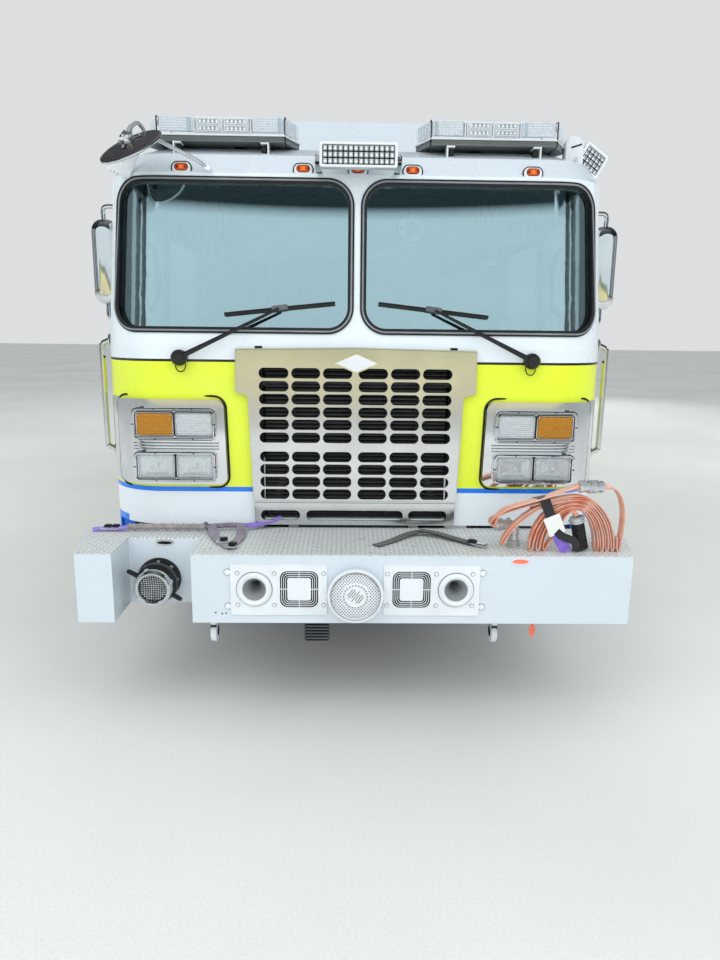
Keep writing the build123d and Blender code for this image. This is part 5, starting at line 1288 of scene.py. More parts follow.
# Bumper hardware
HORN_X, HORN_Z = 432, 633
SPEAKER_X = 241
PLATE_BOLTS_X, PLATE_BOLTS_Z = (136, 347, 503), (562, 704)
END_BOLTS_X, END_BOLTS_Z = 546, (555, 708)
SIREN_Z = 620
INTAKE_X, INTAKE_Z, INTAKE_WALL = -896, 594, 240
STRAINER_X, STRAINER_Z, STRAINER_FACE = -884, 606, 56
TOW_EYE_X = 636
HANGING_BOX_X = -173


def make_horns_and_speakers():
    """Rims of the horn bells, near-black sheets of painted shade behind the speaker slots and at the
    throats' ends, the plates' bolts, and grey rings of painted shade round the rims and bolts.
    """
    form = Form("horn_and_speaker_trim")
    flange = [(74, -1), (75, 5), (72, 10), (66, 12.5), (59, 12.5), (54, 11), (49, 6), (48, 2)]
    at = place(HORN_X, -4, HORN_Z, FRONT)
    form.both(lathe(flange, 48, closed=False), "plate", at)
    form.both(hoop(63, 2.4, 52, 8), "plate", place(HORN_X, -16.5, HORN_Z, FRONT))
    # A grey ring round each horn's rim: a painted shade line
    form.both(hoop(76.5, 1.6, 56, 8), "strip", place(HORN_X, -5, HORN_Z, FRONT))
    throat = [(48.5, 8), (46, 2), (40, -8), (30.5, -26), (22, -55), (15, -92), (12.5, -120)]
    form.both(lathe(throat, 44, closed=False), "bell", at)
    # A near-black disc closes each throat: painted shade deep in the horn
    form.both(slab(ellipse(26, 26, 28), -122, -118, 1), "dark", at)
    speaker_at = place(SPEAKER_X, -4, HORN_Z, FRONT)
    # A near-black sheet behind the speaker slots: painted shade
    form.both(slab(rounded(168, 168, 35, 8), -12, -6, 1), "dark", speaker_at)
    slot_edge = ring(rounded(167, 167, 34, 8), rounded(163, 163, 32, 8), -1, 1.5, 0.6)
    form.both(slot_edge, "plate", speaker_at)
    # Each bolt has a grey ring of painted shade round it
    for x in PLATE_BOLTS_X:
        for z in PLATE_BOLTS_Z:
            form.both(bolt(7.5, 5), "plate", place(x, -4, z, FRONT))
            form.both(hoop(8.5, 1.2, 20, 6), "strip", place(x, -4.5, z, FRONT))
    for z in END_BOLTS_Z:
        form.both(bolt(13, 8), "plate", place(END_BOLTS_X, 0, z, FRONT))
        form.both(hoop(14, 1.4, 24, 6), "strip", place(END_BOLTS_X, -0.8, z, FRONT))
    plate = rounded(414, 228, 5, 3)
    form.both(ring(plate, grown(plate, -2), 2, 5, 1), "plate", place(328, 0, 629, FRONT))
    form.done("aluminium")


def make_siren():
    """The round electric siren: rolled rim, perforated face, its ring of slots and the louvred boss; the
    slots and the louvres' gaps are near-black boxes of painted shade, and a grey ring under the rim is a
    painted shade line.
    """
    form = Form("siren_face")
    centre = place(0, 0, SIREN_Z, FRONT)
    rim = [
        (70, -2), (92, 8), (112, 22), (118, 40), (120, 52),
        (117, 58), (112, 60), (107, 57), (104, 51), (101, 48),
    ]
    boss = [(60, 51), (58, 54), (54, 56), (46, 56), (43, 53), (42, 52), (0, 53)]
    form.add(lathe(rim, 64), "plate", centre)
    form.add(lathe([(101, 48), (98, 49), (62, 51), (60, 51)], 56, closed=False), "siren_mesh", centre)
    form.add(lathe(boss, 56, closed=False), "plate", centre)
    # A grey ring under the rim: a painted shade line
    form.add(hoop(104, 1.6, 64, 8), "strip", place(0, -58.6, SIREN_Z, FRONT))
    # Near-black boxes for the ring of slots: painted shade
    for turn in range(24):
        x, z = polar(50, 15 * turn)
        lean = Matrix.Rotation(-radians(15 * turn), 4, "Y")
        form.add(box(3.6, 2, 8, 0.6), "dark", place(x, -56, SIREN_Z + z) @ lean)
    # The louvres' gaps: near-black boxes, painted shade
    for step in range(-3, 4):
        length = 2 * sqrt(36**2 - (step * 9.5) ** 2) * 0.8
        if abs(step) == 1:
            length *= 0.55
        at = place(step * 7.6, -53, SIREN_Z - step * 5.6, (0, -53, 0))
        form.add(box(length, 1.6, 2.6, 0.5), "dark", at)
    for turn in range(6):
        x, z = polar(95, 60 * turn + 30)
        form.add(bolt(3.5, 2.5), "plate", place(x, -49, SIREN_Z + z, FRONT))
    form.done("aluminium", ["siren"])


def make_intake():
    """The black front intake: collar, pipe, bright lugged ring with its mesh, and two handles."""
    form = Form("intake_swivel")
    x, z, wall = INTAKE_X, INTAKE_Z, INTAKE_WALL
    collar = [(98, 0), (98, 10), (92, 15), (64, 16), (64, 20)]
    form.add(lathe(collar, 44), "black", place(x, wall, z, FRONT))
    for turn in range(8):
        dx, dz = polar(82, 45 * turn)
        form.add(hexagon(7, 7), "coupling", place(x + dx, wall - 15, z + dz, FRONT))
    pipe = [(64, 0), (64, 50), (82, 60), (92, 70), (92, 96), (84, 104), (76, 108), (76, 140)]
    form.add(lathe(pipe, 44), "black", place((x + STRAINER_X) / 2, wall, (z + STRAINER_Z) / 2, FRONT))

    def strainer(behind):
        return place(STRAINER_X, STRAINER_FACE + behind, STRAINER_Z, FRONT)

    lip = [(64, 0), (80, 2), (83, 14), (83, 30), (78, 38), (70, 41), (63, 38), (60, 20), (58, 6)]
    form.add(lathe(lip, 48, closed=False), "chrome", strainer(42))
    form.add(hoop(69, 4, 56, 10), "coupling", strainer(2))
    # A near-black dish behind the mesh: painted shade inside the intake
    form.add(lathe([(60, 0), (42, -8), (20, -13), (0, -15)], 32, closed=False), "dark", strainer(22))
    for step in range(-5, 6):
        off, reach = step * 10, sqrt(58**2 - (step * 10) ** 2)
        for wire in (
            [(off, -reach, 0), (off, 0, -9), (off, reach, 0)],
            [(-reach, off, 0), (0, off, -9), (reach, off, 0)],
        ):
            form.add(tube(wire, 1.5, 6), "coupling", strainer(20))
    for turn in (150, -30):
        handle = [(*polar(76, turn), 0), (*polar(98, turn), 2), (*polar(126, turn), 4)]
        form.add(tube(handle, 13, 12, 0.7, (0, 0, 1), 0.85), "black", place(x, STRAINER_FACE + 92, z, FRONT))
        dx, dz = polar(127, turn)
        knob = lathe([(0, -9), (9, -6), (11, 0), (9, 6), (0, 9)], 14)
        form.add(knob, "black", place(x + dx, STRAINER_FACE + 88, z + dz, FRONT))
    for turn in range(4):
        dx, dz = polar(83, 90 * turn + 20)
        lean = Matrix.Rotation(-radians(90 * turn + 20), 4, "Y")
        at = place(STRAINER_X + dx, STRAINER_FACE + 24, STRAINER_Z + dz) @ lean
        form.add(box(10, 24, 18, 3), "coupling", at)
    form.done("black_plastic", ["front_intake"])


def make_bumper_trim():
    """Small things on the bumper: slot, reflectors, tow eye rings, bolts and the ribbed box below."""
    form = Form("bumper_small_parts")
    slot_at, reflector_at = place(-867, 240, 764, FRONT), place(705, 0, 761, FRONT)
    form.add(ring(ellipse(84, 28), ellipse(64, 12), 0, 5, 2), "chrome", slot_at)
    # A near-black oval inside the slot: painted shade
    form.add(slab(ellipse(66, 13), 0, 2, 0.5), "dark", slot_at)
    form.add(ring(ellipse(82, 30), ellipse(70, 20), 0, 4, 1.5), "plate", reflector_at)
    form.add(slab(ellipse(72, 22), 0, 3, 1), "orange", reflector_at)
    form.add(slab(ellipse(30, 62, 28), -1.5, 1.5, 0.8), "orange", place(806, 120, 395, (90, 0, 4)))
    wire = flowing([(806, 122, 478), (803, 120, 455), (806, 120, 424)])
    form.add(tube(wire, 2, 6, 1, (0, 1, 0)), "black")
    for step in range(11):
        form.add(box(120, 10, 8, 2), "grey", place(HANGING_BOX_X, 196, 470 - step * 15))
    form.add(box(110, 60, 176, 3), "dark", place(HANGING_BOX_X, 230, 392))
    eye = [(25, -15), (47, -13), (50, -6), (50, 6), (47, 13), (25, 15)]
    for x in (-TOW_EYE_X, TOW_EYE_X):
        form.add(lathe(eye, 36, closed=False), "plate", place(x, 166, 372, LEFT))
        form.add(box(32, 82, 70, 6), "plate", place(x, 166, 444))
    for x, z in ((-600, 524), (-572, 520), (-556, 522)):
        form.add(bolt(3.5, 2), "dark", place(x, 0, z, FRONT))
    form.done("aluminium")


# Straps on the deck: each point is across, behind the bumper's face and above the strap's level
STRAP_LEVEL = DECK_TOP + 6
PURPLE_LEAD = [(-1222, 330, 5), (-1180, 344, 6), (-1120, 346, 6), (-1061, 342, 14)]
PURPLE_TAIL = [(-560, 366, 18), (-500, 374, 18), (-440, 396, 20), (-396, 408, 30), (-352, 412, 46)]
WRAPPED_RUN = [(-1061, 342, 15), (-940, 346, 17), (-820, 347, 17), (-704, 350, 16)]
KNOT = [(-704, 350, 16), (-650, 360, 18), (-600, 366, 20), (-540, 372, 18)]
SLATE_LOOPS = [
    [(-704, 352, 16), (-676, 346, 24), (-656, 296, 10), (-630, 218, 2), (-592, 150, 1)],
    [(-548, 384, 16), (-534, 346, 26), (-524, 276, 9), (-526, 196, 2), (-544, 112, 1)],
    [(-610, 176, 1), (-584, 134, 4), (-560, 100, 2), (-534, 62, 2)],
]
BLACK_STRAP = [
    (90, 118, -1),
    (170, 196, 0),
    (236, 268, 6),
    (300, 300, 14),
    (372, 290, 10),
    (452, 232, 2),
    (540, 150, -1),
]
BLACK_FOLD = [(300, 304, 20), (372, 270, 16), (452, 210, 8), (532, 136, 2)]
BUCKLES = ((-590, 146, 12), (-540, 74, -20), (-1166, 348, 4), (-1128, 348, -6))
SPIRAL_TURN = 1.1


def make_straps():
    """The purple strap with its spiral-wrapped run and buckles, and the black strap across the deck."""
    form = Form("deck_straps")

    def on_deck(points, per=8):
        return flowing([(x, y, STRAP_LEVEL + z) for x, y, z in points], per)

    form.add(band(on_deck(PURPLE_LEAD, 6), 34, 5, (0, 1, 0.2)), "purple")
    wrapped = on_deck(WRAPPED_RUN, 14)
    form.add(tube(wrapped, 15, 14, 0.9), "wrap")
    spiral = []
    for i, p in enumerate(wrapped):
        angle = i * SPIRAL_TURN
        spiral.append((p.x, p.y + 16 * cos(angle), p.z + 15 * sin(angle)))
    form.add(tube(flowing(spiral, 4), 3.0, 6), "wrap")
    for run in SLATE_LOOPS:
        form.add(band(on_deck(run), 42, 4, (1, 0, 0)), "slate")
    form.add(tube(on_deck(KNOT), 17, 12, 0.7), "slate")
    form.add(band(on_deck(PURPLE_TAIL), 30, 4, (0, 1, 0.4)), "purple")
    for x, y, turn in BUCKLES:
        buckle = ring(rounded(52, 38, 8, 3), rounded(36, 20, 5, 3), 0, 5, 1.5)
        form.add(buckle, "coupling", place(x, y, STRAP_LEVEL + 5, (0, 0, turn)))
        form.add(box(34, 26, 18, 4), "black", place(x + 6, y + 16, STRAP_LEVEL + 12, (0, 0, turn)))
    form.add(flat_strap(on_deck(BLACK_STRAP), 44, 4), "black_web")
    form.add(flat_strap(on_deck(BLACK_FOLD), 40, 4), "black_web")
    form.add(box(72, 44, 14, 4), "steel", place(548, 128, STRAP_LEVEL + 6, (0, 0, -38)))
    form.add(box(40, 30, 22, 5), "black", place(522, 150, STRAP_LEVEL + 10, (0, 0, -38)))
    form.done("rubber")


# Hose pack
PACK_Y = 82.5
PACK_LEFT, PACK_RIGHT, PACK_MIDDLE = 756, 1128, 942
# The first layers run flat to the left; each layer's feet lie a step further in than those of the one before
FLAT_FOLDS = 3
LEFT_STEP, RIGHT_STEP = 15, 12
PACK_LEAN = PACK_MIDDLE - (PACK_LEFT + PACK_RIGHT - RIGHT_STEP * FLAT_FOLDS) / 2
# In metres: the flat hose's widths and thickness, and the length over which its ends gather
ROLL_WIDTH, LOOSE_WIDTH, HOSE_THICK = 0.046, 0.06, 0.0066
HOSE_GATHER = 0.05
HOSE_SHIFTS = (0, 3, -2, 4, -3, 2, -4, 1)
LAYER_RISE, LAYER_PITCH = 246, 8.7
PACK_BASE = DECK_TOP + 0.5
HOSE_FOOT = PACK_BASE + HOSE_THICK / MM / 2
HALF_SECTION = [
    (0.5, 0.0), (0.47, 0.3), (0.4, 0.48), (0.2, 0.5), (0.0, 0.46), (-0.2, 0.5), (-0.4, 0.48), (-0.47, 0.3),
]
ROLL_START = [
    (622, 150, 884),
    (606, 140, 886),
    (592, 116, 900),
    (590, 94, 920),
    (604, 84, 940),
    (642, 82, 958),
    (700, 82, 977),
]
ROLL_END = [(874, 880), (898, 938), (926, 966), (948, 964), (956, 946)]
LEAD = [
    (600, 898),
    (604, 930),
    (626, 960),
    (664, 980),
    (712, 995),
    (762, 1010),
    (812, 1024),
    (880, 1052),
    (925, 1068),
    (958, 1073),
]
BIGHT = [
    (1066, 1073),
    (1092, 1075),
    (1119, 1062),
    (1143, 1026),
    (1157, 970),
    (1160, 918),
    (1158, 872),
    (1154, 836),
    (1151, 808),
    (1149, HOSE_FOOT + 4),
    (1143, HOSE_FOOT - 1),
    (1138, HOSE_FOOT + 6),
    (1137, HOSE_FOOT + 30),
    (1135, HOSE_FOOT + 62),
]
PAIR_X, PAIR_Z = 958, 1073.3
ELBOW_Y, ELBOW_Z = 152, 884
NOZZLE_X, NOZZLE_Z, NOZZLE_LEAN = 974, 867, -13


def in_pack(points):
    """Points of (across, above the ground) in the middle plane of the pack."""
    return [(x, PACK_Y, z) for x, z in points]


def middle_line(name, points):
    """The points of a smooth line led by control points in millimetres."""
    data = bpy.data.curves.new(name, "CURVE")
    data.dimensions, data.resolution_u = "3D", 5
    spline = data.splines.new("NURBS")
    spline.points.add(len(points) - 1)
    for target, p in zip(spline.points, points):
        target.co = (*place(*p).to_translation(), 1)
    spline.order_u = 3
    spline.use_endpoint_u = True
    line = linked(name, data)
    mesh = evaluated(line)
    path = [v.co.copy() for v in mesh.vertices]
    bpy.data.meshes.remove(mesh)
    bpy.data.objects.remove(line)
    return path


def hose_run(name, points, width, stands_for=(), ends=(0.0, 0.0)):
    """A flat hose on edge along points, gathered at its ends: its piece, its middle line and its length."""
    path = middle_line(f"{name}_line", points)
    steps = [(b - a).length for a, b in zip(path, path[1:])]
    length = sum(steps)
    section = HALF_SECTION + [(-a, -b) for a, b in HALF_SECTION]
    loops, gone = [], 0.0
    for i, (p, run) in enumerate(directions(path)):
        side = Vector((0, 1, 0))
        side = (side - run * side.dot(run)).normalized()
        out = side.cross(run)
        near_start = max(0.0, 1 - gone / HOSE_GATHER) * ends[0]
        near_end = max(0.0, 1 - (length - gone) / HOSE_GATHER) * ends[1]
        gather = max(near_start, near_end)
        wide = width * (1 - 0.45 * gather)
        thick = HOSE_THICK * (1 + 2.4 * gather)
        loops.append([tuple(p + side * a * wide + out * b * thick) for a, b in section])
        gone += steps[min(i, len(steps) - 1)]
    form = Form(name)
    form.add(skin(loops), "hose", Matrix.Identity(4))
    return form.done("hose_jacket", stands_for, 60), path, length


def layer_line(k):
    """Layer k of the pack from its right foot over the arch to its left foot."""
    y = PACK_Y + HOSE_SHIFTS[k]
    right, left = PACK_RIGHT - RIGHT_STEP * k, PACK_LEFT + LEFT_STEP * max(0, k - FLAT_FOLDS)
    rise = LAYER_RISE - LAYER_PITCH * k
    top = HOSE_FOOT + rise
    quarter = [pi / 2 * step / 7 for step in range(8)]
    middle = PACK_MIDDLE if k < FLAT_FOLDS else (left + right) / 2 + PACK_LEAN
    arch = [(middle + (right - middle) * cos(a), y, HOSE_FOOT + 6 + (rise - 6) * sin(a)) for a in quarter]
    if k >= FLAT_FOLDS:
        down = [(middle - (middle - left) * sin(a), y, HOSE_FOOT + 6 + (rise - 6) * cos(a)) for a in quarter]
        return arch + down[1:]
    down = [
        (870, y, top - 13),
        (807, y, top - 32),
        (745, y, top - 66 - 3 * k),
        (690, y, top - 112 - 4 * k),
        (652 + 3 * k, y, top - 158 - 4 * k),
        (626 + 9 * k, y, top - 196),
    ]
    return arch + (down if k else down[:2])


def roll_line():
    """The folded hose's control points: its start, the layers to and fro with their bends, and its end."""
    line = list(ROLL_START)
    for k in range(len(HOSE_SHIFTS)):
        whole = layer_line(k)
        if k % 2 == 0:
            whole.reverse()
        if k:
            before, after = line[-1], whole[0]
            drop = 5.5 if before[2] < HOSE_FOOT + 20 else 9.0
            low = max(HOSE_FOOT, min(before[2], after[2]) - drop)
            line.append(((before[0] + after[0]) / 2, (before[1] + after[1]) / 2, low))
        line += whole
    last = line[-1][0]
    return line + in_pack([(last + 7, HOSE_FOOT), (last + 15, HOSE_FOOT + 12), *ROLL_END])


def make_hoses():
    """The hose folded to and fro, the lead that rises to the coupling and the bight at its other side."""
    return [
        hose_run("hose_roll", roll_line(), ROLL_WIDTH, ["hose_coil"], (1.0, 1.0)),
        hose_run("hose_lead", in_pack(LEAD), LOOSE_WIDTH, (), (0.0, 1.0)),
        hose_run("hose_bight", in_pack(BIGHT), LOOSE_WIDTH, (), (1.0, 0.0)),
    ]


def make_pair_coupling():
    """The lugged coupling between the lead and the bight."""
    form = Form("hose_pair_coupling")
    profile = [
        (0, 0), (22, 0), (27, 2), (27.5, 14), (25.5, 18), (25.5, 40), (29, 43), (29, 52), (26, 53),
        (26, 56), (29, 58), (29, 78), (26, 82), (26, 100), (24, 107), (20, 108), (0, 108),
    ]
    at = place(PAIR_X, PACK_Y, PAIR_Z, LEFT)
    form.add(lathe(profile, 32), "coupling", at)
    outwards = Matrix.Rotation(radians(90), 4, "Y")
    for turn in range(4):
        round_at = at @ Matrix.Rotation(radians(90 * turn + 40), 4, "Z")
        for along in (34, 88):
            form.add(bolt(5, 8), "chrome", round_at @ Matrix.Translation((25, 0, along)) @ outwards)
    for along in (47, 74):
        form.add(hoop(28.5, 1.4, 40, 8), "chrome", place(PAIR_X + along, PACK_Y, PAIR_Z, LEFT))
    form.done("aluminium")


def make_hose_fittings():
    """The elbow on its foot at the roll's outer end, and the ridged nozzle within the pack."""
    form = Form("hose_fittings")
    foot = [
        (0, 0), (29, 0), (29, 9), (27, 11), (28.5, 13), (28.5, 24),
        (24, 27), (22, 30), (22, 52), (24, 54), (24, 60),
    ]
    form.add(lathe(foot, 32), "coupling", place(706, ELBOW_Y, PACK_BASE, UP))
    bend = [
        (706, ELBOW_Y, PACK_BASE + 56),
        (706, ELBOW_Y, 858),
        (700, ELBOW_Y, 874),
        (686, ELBOW_Y, 884),
        (668, ELBOW_Y, ELBOW_Z),
        (650, ELBOW_Y, ELBOW_Z),
    ]
    form.add(tube(flowing(bend, 6), 22.5, 22, 1.0, (0, 1, 0)), "coupling")
    collar = [(0, 0), (24, 0), (29, 2), (29, 12), (27, 14), (29, 16), (29, 34), (25, 36), (0, 36)]
    form.add(lathe(collar, 32), "coupling", place(652, ELBOW_Y, ELBOW_Z, RIGHT))
    form.add(bolt(7, 9), "chrome", place(690, ELBOW_Y - 22, 880, FRONT))
    form.add(bolt(9, 10), "chrome", place(678, ELBOW_Y, 904, UP))
    lean = place(NOZZLE_X, PACK_Y, NOZZLE_Z, (0, NOZZLE_LEAN, 0))
    barrel = [(0, -75), (24, -75), (29, -72), (29, -60), (26, -56)]
    for ridge in range(8):
        low = -52 + ridge * 11
        barrel += [(28, low), (28, low + 5), (25.5, low + 7)]
    barrel += [(27, 40), (27, 47), (0, 47)]
    form.add(lathe(barrel, 32), "black", lean)
    for turn in range(10):
        rib_at = lean @ Matrix.Rotation(radians(36 * turn), 4, "Z")
        form.add(moved(box(3, 5, 96, 1), 28, 0, -10), "black", rib_at)
    cuff = [(0, 46), (28, 46), (32, 49), (32, 56), (30, 58), (32, 60), (32, 70), (29, 74), (0, 75)]
    form.add(lathe(cuff, 32), "coupling", lean)
    for turn in range(3):
        lug_at = lean @ Matrix.Rotation(radians(120 * turn - 60), 4, "Z")
        form.add(moved(box(9, 10, 12, 3), 33, 0, 61), "chrome", lug_at)
    form.done("aluminium", ["hose_couplings"])


def make_hose_ties():
    """The black tie over the pack with its blank label, the purple one below and a black one beside it."""
    form = Form("hose_ties")
    front = PACK_Y - LOOSE_WIDTH / MM / 2 - 6
    over = [
        (786, 128, 960),
        (788, 126, 1000),
        (792, 112, 1020),
        (800, 80, 1024),
        (806, front + 8, 1020),
        (812, front, 1006),
        (824, front - 1, 974),
        (842, front - 2, 936),
    ]
    form.add(band(flowing(over, 6), 44, 3.5, (1, 0, 0.25)), "black_web")
    label = [(836, front - 5, 950), (850, front - 6, 918), (869, front - 5, 872)]
    form.add(band(label, 72, 4, (1, 0, 0.42)), "label")
    low = [(866, front - 2, 880), (884, front - 2, 842), (902, front, 812), (914, front + 2, PACK_BASE + 4)]
    form.add(band(flowing(low, 6), 50, 3.5, (1, 0, 0.5)), "purple")
    beside = [
        (862, front - 7, 884),
        (888, front - 9, 864),
        (918, front - 10, 852),
        (944, front - 7, 838),
        (952, front - 5, 812),
        (950, front - 4, PACK_BASE + 6),
    ]
    form.add(band(flowing(beside, 6), 34, 3.5, (0.7, 0, 1)), "black_web")
    form.done("rubber")


# Wheels
def axle_of(tyre):
    """How far behind the bumper's face a tyre's axle lies."""
    low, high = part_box(tyre)
    return ((low.y + high.y) / 2 - NOSE) / MM


TYRE_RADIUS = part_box("front_tyre_left")[1].z / 2 / MM
TYRE_WIDTH, TREAD_LUGS = 300, 60
AXLES = {"front": axle_of("front_tyre_left"), "rear": axle_of("rear_tyres_left")}
FRONT_X, TWIN_IN, TWIN_OUT = 1035, 722, 1067
DISCS = {"front": FRONT_X + 84, "rear": (TWIN_IN + TWIN_OUT) / 2 + 24}
NUTS, NUT_CIRCLE, HOLE_CIRCLE = 10, 142, 206
TYRE_SIDE = [
    (288, -0.36), (300, -0.39), (330, -0.45), (352, -0.475), (358, -0.47), (400, -0.497),
    (440, -0.495), (446, -0.487), (480, -0.475),
]
GROOVES = (-0.27, -0.09, 0.09, 0.27)


def tyre_shape():
    """A road tyre: bulged sides with rings, and a tread of ribs cut by grooves and sipes."""
    r = TYRE_RADIUS
    side = [*TYRE_SIDE, (r - 28, -0.455), (r - 10, -0.435)]
    crown = [(r - 2, -0.40)]
    for g in GROOVES:
        crown += [(r, g - 0.028), (r - 14, g - 0.018), (r - 14, g + 0.018), (r, g + 0.028)]
    crown.append((r - 2, 0.40))
    profile = side + crown + [(radius, -a) for radius, a in reversed(side)]
    loops = []
    for radius, a in profile:
        loop = []
        for step, angle in enumerate(turns(TREAD_LUGS * 2)):
            cut = 8 if step % 2 == 0 and abs(a) > 0.3 and radius > r - 30 else 0
            loop.append(((radius - cut) * cos(angle), (radius - cut) * sin(angle), a * TYRE_WIDTH))
        loops.append(loop)
    return skin(loops, False, False)


def make_wheels():
    """Tyres with tread, and nuts and hand holes on the rims, the holes drawn as rings round near-black discs
    of painted shade.
    """
    tyre = tyre_shape()
    for side, name in SIDES.items():
        flip = FLIPS[side]

        def add_tyre(form, x, axle):
            form.add(tyre, "tyre", flip @ place(x, AXLES[axle], TYRE_RADIUS, LEFT))

        form = Form(f"front_tread_{name}", f"front_wheel_{name}")
        add_tyre(form, FRONT_X, "front")
        form.done("tyre", [f"front_tyre_{name}"], 30)
        form = Form(f"rear_treads_{name}", f"rear_wheels_{name}")
        add_tyre(form, TWIN_IN, "rear")
        add_tyre(form, TWIN_OUT, "rear")
        form.done("tyre", [f"rear_tyres_{name}"], 30)
        for axle, body in (("front", f"front_wheel_{name}"), ("rear", f"rear_wheels_{name}")):
            form = Form(f"{axle}_wheel_nuts_{name}", body)
            for turn in range(NUTS):
                y, z = polar(NUT_CIRCLE, 36 * turn)
                at = flip @ place(DISCS[axle], AXLES[axle] + y, TYRE_RADIUS + z, LEFT)
                form.add(hexagon(16, 26), "chrome", at)
                y, z = polar(HOLE_CIRCLE, 36 * turn + 18)
                at = flip @ place(DISCS[axle] + 1, AXLES[axle] + y, TYRE_RADIUS + z, LEFT)
                form.add(ring(ellipse(46, 46, 20), ellipse(34, 34, 20), -1, 4, 2), "aluminium", at)
                # A near-black disc in each hand hole: painted shade
                form.add(slab(ellipse(35, 35, 20), -1, 0.6, 0.3), "dark", at)
            form.done("aluminium")


# Cab interior
SEATS = [(760, 920), (-760, 920), (860, 2750), (290, 2750), (-290, 2750), (-860, 2750)]
SEAT_MIDDLE = 225
FLOOR_TOP = 1100
CUSHION_UP, BACK_UP = 372, 740
PAD_VOXEL, PAD_PRESSURE, PAD_FRAMES, PAD_SWELL = 10, 4.0, 20, 12
FAN_X, FAN_Y, FAN_Z = 250, CAB_FACE + 190, 2190


def pillow(width, depth, height, crown):
    """A cushion about the origin that bulges on top and pulls in between its corners."""
    loops = []
    steps = 8
    outline = rounded(width, depth, min(width, depth) * 0.16, 5)
    for level, grow in ((-0.5, -10), (-0.35, 0), (0.0, 2), (0.32, 0), (0.47, -8)):
        pulled = []
        for x, y in grown(outline, grow):
            middle = 1 - 0.02 * (1 - min(1, abs(abs(2 * x / width) - abs(2 * y / depth))))
            pulled.append((x * middle, y * middle))
        loops.append(layer(pulled, level * height))
    for step in range(1, steps):
        share = 1 - step / steps
        top = 0.47 * height + crown * (1 - share**2)
        loops.append(layer([(x * share, y * share) for x, y in grown(outline, -8)], top))
    return skin(loops)


def swelled(name, shapes):
    """A mesh in millimetres of closed shapes, swelled by a short cloth run under pressure up to a cap."""
    form = Form(name)
    for shape, at in shapes:
        form.add(shape, "cloth", Matrix.Scale(MM, 4) @ at)
    piece = form.done("seat_fabric")
    remesh = piece.modifiers.new("remesh", "REMESH")
    remesh.mode, remesh.voxel_size = "VOXEL", PAD_VOXEL * MM
    even = evaluated(piece)
    bpy.data.objects.remove(piece)
    pads = linked(name, even)
    cloth = pads.modifiers.new("cloth", "CLOTH")
    cloth.settings.use_pressure = True
    cloth.settings.uniform_pressure_force = PAD_PRESSURE
    cloth.settings.effector_weights.gravity = 0
    for moment in range(1, PAD_FRAMES + 1):
        bpy.context.scene.frame_set(moment)
    blown = evaluated(pads)
    for vertex, after in zip(even.vertices, blown.vertices):
        move = after.co - vertex.co
        vertex.co += move * min(1.0, PAD_SWELL * MM / max(move.length, 1e-9))
    bpy.data.meshes.remove(blown)
    bpy.context.scene.frame_set(1)
    bpy.data.objects.remove(pads)
    even.transform(Matrix.Scale(1 / MM, 4))
    even.materials.clear()
    even.materials.append(LOOK["cloth"])
    even.shade_smooth()
    return even


def make_seats():
    """Six seats: cushions and backs swelled by a short cloth run, with piping, each on its pedestal."""
    upright = Matrix.Translation((0, 530, BACK_UP)) @ Matrix.Rotation(radians(86), 4, "X")
    cushion, back = pillow(424, 428, 84, 18), pillow(418, 588, 76, 14)
    level = Matrix.Translation((0, SEAT_MIDDLE, CUSHION_UP))
    soft = swelled("seat_pads", [(cushion, level), (back, upright)])
    base = Form("seat_pedestals")
    for index, (x, front_edge) in enumerate(SEATS):
        y = CAB_FACE + front_edge
        pads = linked(f"seat_cushion_{index + 1}", soft.copy())
        pads.data.transform(place(x, y, FLOOR_TOP))
        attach(pads, "truck")
        edge = rounded(436, 440, 70, 5)
        piping = [(px + x, py + y + SEAT_MIDDLE, FLOOR_TOP + CUSHION_UP + 30) for px, py in edge]
        base.add(tube(piping + piping[:1], 4, 8), "black")
        base.add(box(300, 280, 316, 16), "grey", place(x, y + 230, FLOOR_TOP + 158))
        base.add(box(400, 400, 18, 6), "black", place(x, y + SEAT_MIDDLE, FLOOR_TOP + 322))
        base.add(box(400, 26, 610, 10), "black", place(x, y + 572, FLOOR_TOP + 736, (-4, 0, 0)))
        for side, look in ((-1, "black_web"), (1, "orange")):
            belt = [
                (x + side * 215, y + 470, FLOOR_TOP + 350),
                (x + side * 226, y + 440, FLOOR_TOP + 420),
                (x + side * 200, y + 520, FLOOR_TOP + 700),
            ]
            base.add(band(flowing(belt, 5), 46, 3, (0, 1, 0)), look)
    base.done("seat_fabric", ["seats"])


